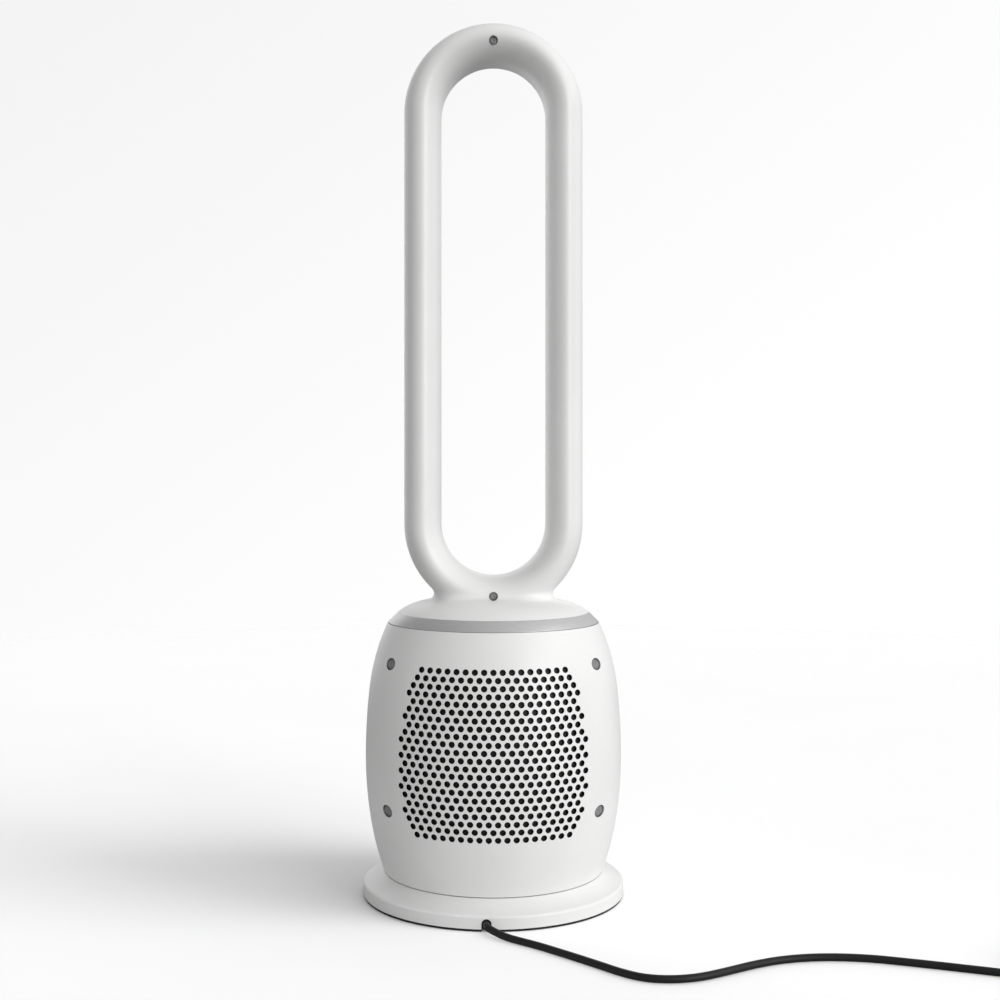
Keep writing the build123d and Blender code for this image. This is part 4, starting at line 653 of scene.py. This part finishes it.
def straight_behind(flat):
    """Flat places on the wall's back straight behind, along Y, those on the skin: the first moves by wall *
    tan(bearing) and the height by wall * sin(lean). Both fade out between two bearings, the height's also
    towards the border."""
    bearing, height = flat[:, 0] / BELLY, flat[:, 1]
    fade = np.clip((STRAIGHT_ENDS - np.abs(bearing)) / STRAIGHT_FADE, 0, 1)
    aside = WALL * np.tan(np.clip(bearing, -STEEPEST, STEEPEST)) * fade
    fade = fade * np.clip(np.minimum(height - BARREL_FOOT, BARREL_HEAD - height) / BORDER_FADE, 0, 1)
    return flat + np.column_stack([aside, WALL * np.sin(barrel(height)[1]) * fade])


def round_holes(bearings, heights, half_axes, sides, widening=1.0):
    """Round or oval holes, clockwise, each drawn wider along the skin by its widening; gives a function of
    how much to grow them."""
    skin, lean = barrel(heights)
    angle = -np.linspace(0, TAU, sides, endpoint=False)

    def outline(grow):
        aside = (half_axes[0] + grow) * np.cos(angle)[None, :] * (BELLY * widening / skin)[:, None]
        along = (half_axes[1] + grow) * np.sin(angle)[None, :] * np.cos(lean)[:, None]
        return np.stack([BELLY * bearings[:, None] + aside, heights[:, None] + along], -1)

    return outline


def straight_holes(middles, corners, radii):
    """Holes cut straight through along Y at (x, z) middles, with a rounded outline, clockwise."""

    def outline(grow):
        shape = rounded(np.asarray(corners) + np.sign(corners) * grow, np.asarray(radii) + grow, 7)[::-1]
        flat = np.asarray(middles, float)[:, None] + shape[None]
        radius, _ = barrel(flat[..., 1])
        flat[..., 0] = -BELLY * np.arcsin(flat[..., 0] / radius)
        return flat[:, ::-1]

    return outline


def panel_border(grow):
    """The half barrel's own outline, drawn in by grow, anticlockwise."""
    half, low, high = BELLY * math.pi / 2 - grow, BARREL_FOOT + grow, BARREL_HEAD - grow
    across, up = np.linspace(-half, half, 97), np.linspace(low, high, 61)
    return np.concatenate([
        np.column_stack([across[:-1], np.full(96, low)]), np.column_stack([np.full(60, half), up[:-1]]),
        np.column_stack([across[:0:-1], np.full(96, high)]), np.column_stack([np.full(60, -half), up[:0:-1]]),
    ])[None]


def pierced_panel(families, blocks, turn, rim):
    """Half of the barrel as a wall with holes. The skin is triangulated flat between its outlines and carried
    onto the barrel, once outside and once a wall deeper; each outline gets a rounded rim and a wall. The
    skin's own points stay out of the blocks: each has a place, two half widths and its curve's power."""
    families = [panel_border, *families]
    loops = [family(0.0) for family in families]
    lengths = np.concatenate([[loop.shape[1]] * loop.shape[0] for loop in loops])
    starts = np.concatenate([[0], np.cumsum(lengths)[:-1]])
    owner = np.repeat(np.arange(len(lengths)), lengths)
    order = np.arange(lengths.sum())
    following = np.where(order + 1 == starts[owner] + lengths[owner], starts[owner], order + 1)

    def flat(grow):
        return np.concatenate([family(grow).reshape(-1, 2) for family in families])

    half = BELLY * math.pi / 2 - SKIN_MARGIN
    low, high = BARREL_FOOT + SKIN_MARGIN, BARREL_HEAD - SKIN_MARGIN
    across, up = np.meshgrid(np.linspace(-half, half, SKIN_COLUMNS), np.linspace(low, high, SKIN_ROWS))
    inside = np.column_stack([across.ravel(), up.ravel()])
    gap = np.abs(inside[:, None] - blocks[None, :, :2]) / blocks[None, :, 2:4]
    inside = inside[((gap ** blocks[None, :, 4:]).sum(-1) > 1).all(1)]
    wide = flat(rim)
    plan = np.concatenate([wide, inside])
    _, _, triangles, kept, _, _ = delaunay_2d_cdt(
        [Vector(point) for point in plan.tolist()], np.column_stack([order, following]).tolist(), [], 0, 1e-6
    )
    came_from = np.array([ids[0] for ids in kept])
    triangles = came_from[np.array([list(corners) for corners in triangles])]
    owners = np.concatenate([owner, np.full(len(inside), -1)])[triangles]
    hole = (owners[:, 0] > 0) & (owners[:, 0] == owners[:, 1]) & (owners[:, 0] == owners[:, 2])
    triangles = triangles[~hole]

    count, loop_count = len(plan), len(wide)
    skin, out = on_barrel(plan, 0.0, turn)
    narrow = flat(0.0)
    throat, _ = on_barrel(narrow, rim, turn)
    back, _ = on_barrel(straight_behind(np.concatenate([narrow, inside])), WALL, turn)
    soft, _ = on_barrel(flat(rim * 0.29), rim * 0.29, turn)
    through = unit(back[:loop_count] - throat)
    inward = on_barrel(narrow, 0.0, turn)[0] - skin[:loop_count]
    inward = unit(inward - (inward * through).sum(1)[:, None] * through)
    points = np.concatenate([skin, back, soft, throat])
    normals = np.concatenate([out, -out, unit(out[:loop_count] + inward), inward])

    def strip(near, far):
        return np.column_stack([near + order, near + following, far + following, far + order])

    faces = triangles[:, ::-1].tolist() + (triangles + count).tolist()
    for near, far in ((0, 2 * count), (2 * count, 2 * count + loop_count), (2 * count + loop_count, count)):
        faces += strip(near, far).tolist()
    return points, faces, normals


INTAKE_MIDDLE, ROW_PITCH, COLUMN_PITCH, CLOSING_UP = 146.4, 6.752, 7.95, 170


def intake_holes():
    """Bearings and heights of the intake holes: staggered rows inside a rounded-square outline. A row's
    half width is 10.6 * (1 - |(row - 12.5) / 16.25| ^ 2.5) ^ (1 / 2.5) pitches; the columns close up to the
    sides."""
    row, column = np.meshgrid(np.arange(1, 23), np.arange(-12, 13), indexing="ij")
    stagger = np.where(row % 2, 0.0, 0.5)
    half_width = 10.6 * (1 - np.abs((row - 12.5) / 16.25) ** 2.5) ** (1 / 2.5)
    place = column + stagger
    kept = np.abs(place) <= np.floor(half_width - stagger) + stagger
    height = (INTAKE_MIDDLE + ROW_PITCH * 10.5 - (row - 1) * ROW_PITCH)[kept]
    aside = CLOSING_UP * np.sin(place[kept] * COLUMN_PITCH / CLOSING_UP)
    return np.arcsin(aside / barrel(height)[0]), height


SCREW_BEARINGS = np.radians([56.8, -56.8, 53.9, -53.9])
SCREW_HEIGHTS = np.array([218.2, 218.2, 89.9, 89.9])
PLUG_OVAL = (7.8, 5.5)
KEY_PLACES = [(-30, 152), (-10, 152), (10, 152), (30, 152)]
WINDOW_PLACE = (0, 180)
SQUARE = np.array([(-1, -1), (1, -1), (1, 1), (-1, 1)], float)


class FAN_OT_rear_panel(bpy.types.Operator):
    """Make the rear of the barrel with its intake holes and screw recesses"""

    bl_idname = "tower_fan.rear_panel"
    bl_label = "Rear panel"

    def execute(self, context):
        sizes = context.scene.fan_sizes
        radius, rim = sizes.hole_radius / MM, sizes.hole_rim / MM
        bearings, heights = intake_holes()
        widening = 1 / np.sqrt(np.cos(bearings))
        holes = round_holes(bearings, heights, (radius, radius), 16, widening=widening)
        recesses = round_holes(SCREW_BEARINGS, SCREW_HEIGHTS, PLUG_OVAL, 40)
        blocks = np.concatenate([
            np.column_stack([bearings * BELLY, heights, (radius + rim) * widening + 1.2,
                             np.full(len(heights), radius + rim + 1.2)]),
            np.column_stack([SCREW_BEARINGS * BELLY, SCREW_HEIGHTS, np.full(4, 10.5), np.full(4, 7.8)]),
        ])
        blocks = np.column_stack([blocks, np.full(len(blocks), 2.0)])
        points, faces, normals = pierced_panel([holes, recesses], blocks, 0.0, rim)
        add_piece("rear_panel", points, faces, "tower", finish_of("shell_white"),
                  ["rear_housing"], normals=normals)
        return {"FINISHED"}


class FAN_OT_front_panel(bpy.types.Operator):
    """Make the front of the barrel with its key holes and display window"""

    bl_idname = "tower_fan.front_panel"
    bl_label = "Front panel"

    def execute(self, context):
        rim = context.scene.fan_sizes.hole_rim / MM
        keys = straight_holes(KEY_PLACES, SQUARE * 6.0, 5.999)
        window = straight_holes([WINDOW_PLACE], SQUARE * (26, 11), 4)
        blocks = np.array([(-x, z, 8.5, 8.5, 2) for x, z in KEY_PLACES] + [(*WINDOW_PLACE, 30, 14, 6)], float)
        points, faces, normals = pierced_panel([keys, window], blocks, math.pi, rim)
        add_piece("front_panel", points, faces, "tower", finish_of("shell_white"),
                  ["front_housing"], normals=normals)
        return {"FINISHED"}


def front_pad(outline, profile):
    """Rings of a pad let into the front: outline is a function of an inset, and each (share, inset, depth,
    flat) puts it, drawn in and then shrunk to the share, at y = -(skin + depth), or at y = -flat where that
    isn't 0; skin^2 = r(z)^2 - x^2."""
    rings = []
    middle = outline(0.0).mean(0)
    for share, inset, depth, flat in profile:
        x, z = (middle + (outline(inset) - middle) * share).T
        skin = np.sqrt(barrel(z)[0] ** 2 - x ** 2) + depth if not flat else np.full(len(x), flat)
        rings.append(np.column_stack([x, -skin, z]))
    return rings


class FAN_OT_trim_ring(bpy.types.Operator):
    """Turn the grey ring between the barrel and the dome, its edges rounded"""

    bl_idname = "tower_fan.trim_ring"
    bl_label = "Trim ring"

    def execute(self, context):
        corners = [(97.5, 249.92), (87.9, 259.2), (85.5, 259.2), (92.2, 252.3), (92.2, 247.0), (94.6, 247.0),
                   (94.6, 249.92)]
        points, faces = turned(rounded(corners, [0.35, 0.45, 0.3, 0.5, 0.3, 0.3, 0.01], 4), 256)
        ring = add_piece("trim_ring_band", points, faces, "tower", finish_of("trim_grey"),
                         ["trim_ring"])
        outward(ring)
        return {"FINISHED"}


LOOP_PLUGS = [((0.0, 29.55, 780.0), 0.0), ((0.0, 30.97, 275.5), math.radians(6))]
LOOP_PLUG_ROUND = (3.95, 3.95)
PLUG_GAP = 0.15


class FAN_OT_screw_plugs(bpy.types.Operator):
    """Make the six screw plugs: a low ledge round a raised face with a small sunk middle"""

    bl_idname = "tower_fan.screw_plugs"
    bl_label = "Screw plugs"

    def execute(self, context):
        profile = [(0.82, 0, -2.5), (1, 0, -2.46), (1, 0, -2.3), (1, 0.12, -2.2), (1, 1.1, -2.2),
                   (1, 1.3, -2.1), (1, 1.4, -1.45), (1, 1.6, -1.15), (1, 1.9, -1.05), (0.5, 0, -0.95),
                   (0.3, 0, -1.0), (0.25, 0, -1.2), (0.12, 0, -1.3)]
        places = np.column_stack([SCREW_BEARINGS * BELLY, SCREW_HEIGHTS])
        middles, normals = on_barrel(places, np.zeros(4), 0.0)
        shapes = []
        for middle, normal in zip(middles, normals):
            across = np.array([-normal[1], normal[0], 0]) / math.hypot(normal[0], normal[1])
            along = np.cross(normal, across)
            half_axes = (PLUG_OVAL[0] - PLUG_GAP, PLUG_OVAL[1] - PLUG_GAP)
            shapes.append(lofted(oval_button(middle, across, along, normal, half_axes, profile)))
        for middle, lean in LOOP_PLUGS:
            normal = np.array([0, math.cos(lean), math.sin(lean)])
            across = np.array([-1.0, 0, 0])
            along = np.cross(normal, across)
            small = [(share, inset * 0.7, depth) for share, inset, depth in profile]
            shapes.append(lofted(oval_button(middle, across, along, normal, LOOP_PLUG_ROUND, small)))
        points, faces = joined(shapes)
        plugs = add_piece("screw_plug_set", points, faces, "tower", finish_of("plug_grey"),
                          ["screw_plugs"], sharp=50)
        outward(plugs)
        return {"FINISHED"}


KEY_NAMES = ("power_key", "speed_key", "swing_key", "timer_key")
KEY_RADIUS, KEY_FLANGE, FLANGE_GAP, STEM_END = 5.8, 7.4, 0.6, 101.7
WINDOW_HALF, WINDOW_CORNER = np.array([25.85, 10.85]), 3.85


def key_outline(place):
    """A key's circle about its place; gives a function of how far it is drawn in."""
    t = np.linspace(0, TAU, 64, endpoint=False)

    def outline(inset):
        return np.array(place) + (KEY_RADIUS - inset) * np.column_stack([np.cos(t), np.sin(t)])

    return outline


def window_outline(inset):
    """The display window's rounded outline, drawn in by an inset."""
    return rounded(SQUARE * (WINDOW_HALF - inset), max(WINDOW_CORNER - inset, 0.5), 10) + WINDOW_PLACE


class FAN_OT_controls(bpy.types.Operator):
    """Make the four dished keys and the smoked display window of the front"""

    bl_idname = "tower_fan.controls"
    bl_label = "Keys and window"

    def execute(self, context):
        for name, place in zip(KEY_NAMES, KEY_PLACES):
            flange = math.sqrt((BELLY - WALL) ** 2 - (abs(place[0]) + KEY_FLANGE) ** 2) - FLANGE_GAP
            profile = [(1, 3.8, 0, STEM_END), (1, 3.8, 0, flange - 1.6), (1, -1.6, 0, flange - 1.6),
                       (1, -1.6, 0, flange), (1, 0, 0, flange), (1, 0, 0, 0), (1, 0.06, 0.27, 0),
                       (1, 0.2, 0.42, 0), (1, 0.45, 0.5, 0), (1, 0.9, 0.48, 0), (0.7, 0, 0.34, 0),
                       (0.5, 0, 0.26, 0), (0.25, 0, 0.2, 0)]
            points, faces = lofted(front_pad(key_outline(place), profile))
            cap = add_piece(f"{name}_cap", points, faces, name, finish_of("key_white"), [name])
            outward(cap)

        profile = [(1, -2.65, -3.8, 0), (1, -2.65, -2.6, 0), (1, 0, -2.6, 0), (1, 0, -0.4, 0),
                   (1, 0.08, -0.2, 0), (1, 0.3, -0.1, 0)]
        profile += [(share, 0, -0.1, 0) for share in (0.85, 0.65, 0.45, 0.25, 0.08)]
        points, faces = lofted(front_pad(window_outline, profile))
        lens = add_piece("display_window", points, faces, "tower", finish_of("lens_black"),
                         ["display_lens"])
        outward(lens)
        return {"FINISHED"}


# ---------------------------------------------------------------- base


class FAN_OT_foot_ring(bpy.types.Operator):
    """Turn the rubber foot ring with its lip under the base wall, open where the lead leaves"""

    bl_idname = "tower_fan.foot_ring"
    bl_label = "Foot ring"

    def execute(self, context):
        corners = [(104, 0), (119.3, 0), (119.3, 2.15), (117.4, 2.15), (117.4, 1.55), (116.5, 1.55),
                   (116.5, 3.0), (104, 3.0)]
        outline = rounded(corners, [0.3, 0.3, 0.2, 0.1, 0.05, 0.05, 0.2, 0.2], 3)
        points, faces = turned(outline, notch=8.6, bearing=math.radians(2.8))
        foot = add_piece("foot_band", points, faces, "base", finish_of("rubber"), ["foot_ring"])
        outward(foot)
        return {"FINISHED"}


class FAN_OT_plug(bpy.types.Operator):
    """Mould the mains plug: a grooved relief, a grip that widens and a rounded face"""

    bl_idname = "tower_fan.plug"
    bl_label = "Mains plug"

    def execute(self, context):
        starts = 2.0 + 2.2 * np.arange(5)[:, None]
        along = np.concatenate([[0, 0.6, 1.4], (starts + [0, 0.3, 1.3, 1.6]).ravel(), [13.4]])
        taper = 3.6 + 1.5 * along / 14
        groove = np.concatenate([[-0.5, -0.12, 0], np.tile([0, -0.55, -0.55, 0], 5), [0]])
        relief = np.column_stack([along, taper + groove, taper + groove, taper + groove])
        share = np.array([0, 0.04, 0.12, 0.35, 0.65, 0.85, 0.955, 0.99, 1.0])
        width = np.array([0.5, 0.56, 0.66, 0.85, 0.95, 1, 1, 0.975, 0.93])
        depth = np.array([0.72, 0.8, 0.88, 1, 1, 1, 1, 0.96, 0.88])
        corner = 4.1 * np.minimum(width, depth)
        body = np.column_stack([14 + 34 * share, 13 * width, 6.8 * depth, corner])
        rings = []
        start_x, start_y, start_z = PLUG_RUN[-1]
        for where, half_width, half_depth, bend in np.concatenate([relief, body]):
            bend = min(bend, half_width * 0.999, half_depth * 0.999)
            shape = rounded(SQUARE * (half_width, half_depth), bend, 11)
            spot = np.column_stack([start_x - shape[:, 0], np.full(len(shape), start_y + where),
                                    start_z + shape[:, 1]])
            rings.append(beside_fan(spot))
        points, faces = lofted(rings)
        plug = add_piece("mains_plug", points, faces, "base", finish_of("cord"), ["plug"], sharp=45)
        outward(plug)
        return {"FINISHED"}


# ---------------------------------------------------------------- carried-over nodes


class FAN_OT_frame_finishes(bpy.types.Operator):
    """Give every part that keeps its solid's shape the finish of its slot"""

    bl_idname = "tower_fan.frame_finishes"
    bl_label = "Finishes"

    def execute(self, context):
        for part in frame["record"]["subparts"]:
            node = frame["nodes"][part["node"]]
            node.data.materials.clear()
            node.data.materials.append(finish_of(part["material_slot"]))
        return {"FINISHED"}


STEPS = (
    FAN_OT_camera, FAN_OT_foot_ring, FAN_OT_rear_panel, FAN_OT_front_panel, FAN_OT_controls,
    FAN_OT_trim_ring, FAN_OT_screw_plugs, FAN_OT_plug, FAN_OT_mains_lead, FAN_OT_frame_finishes,
    FAN_OT_stage,
)


class FAN_PT_panel(bpy.types.Panel):
    """Lists the fan's pieces, its sizes and its studio"""

    bl_idname = "FAN_PT_panel"
    bl_label = "Tower Fan"
    bl_space_type = "VIEW_3D"
    bl_region_type = "UI"
    bl_category = "Tower Fan"

    def draw(self, context):
        for step in STEPS:
            self.layout.operator(step.bl_idname)
        for settings in (context.scene.fan_sizes, context.scene.fan_finish, context.scene.fan_stage):
            box = self.layout.box()
            for name in settings.bl_rna.properties.keys():
                if name not in ("rna_type", "name"):
                    box.prop(settings, name)


CLASSES = (StageSettings, FanFinish, FanSizes, *STEPS, FAN_PT_panel)


def register():
    for kind in CLASSES:
        bpy.utils.register_class(kind)
    bpy.types.Scene.fan_stage = PointerProperty(type=StageSettings)
    bpy.types.Scene.fan_finish = PointerProperty(type=FanFinish)
    bpy.types.Scene.fan_sizes = PointerProperty(type=FanSizes)


def unregister():
    for name in ("fan_stage", "fan_finish", "fan_sizes"):
        delattr(bpy.types.Scene, name)
    for kind in reversed(CLASSES):
        bpy.utils.unregister_class(kind)


def main():
    register()
    for step in STEPS:
        group, name = step.bl_idname.split(".")
        getattr(getattr(bpy.ops, group), name)()


if __name__ == "__main__":
    main()
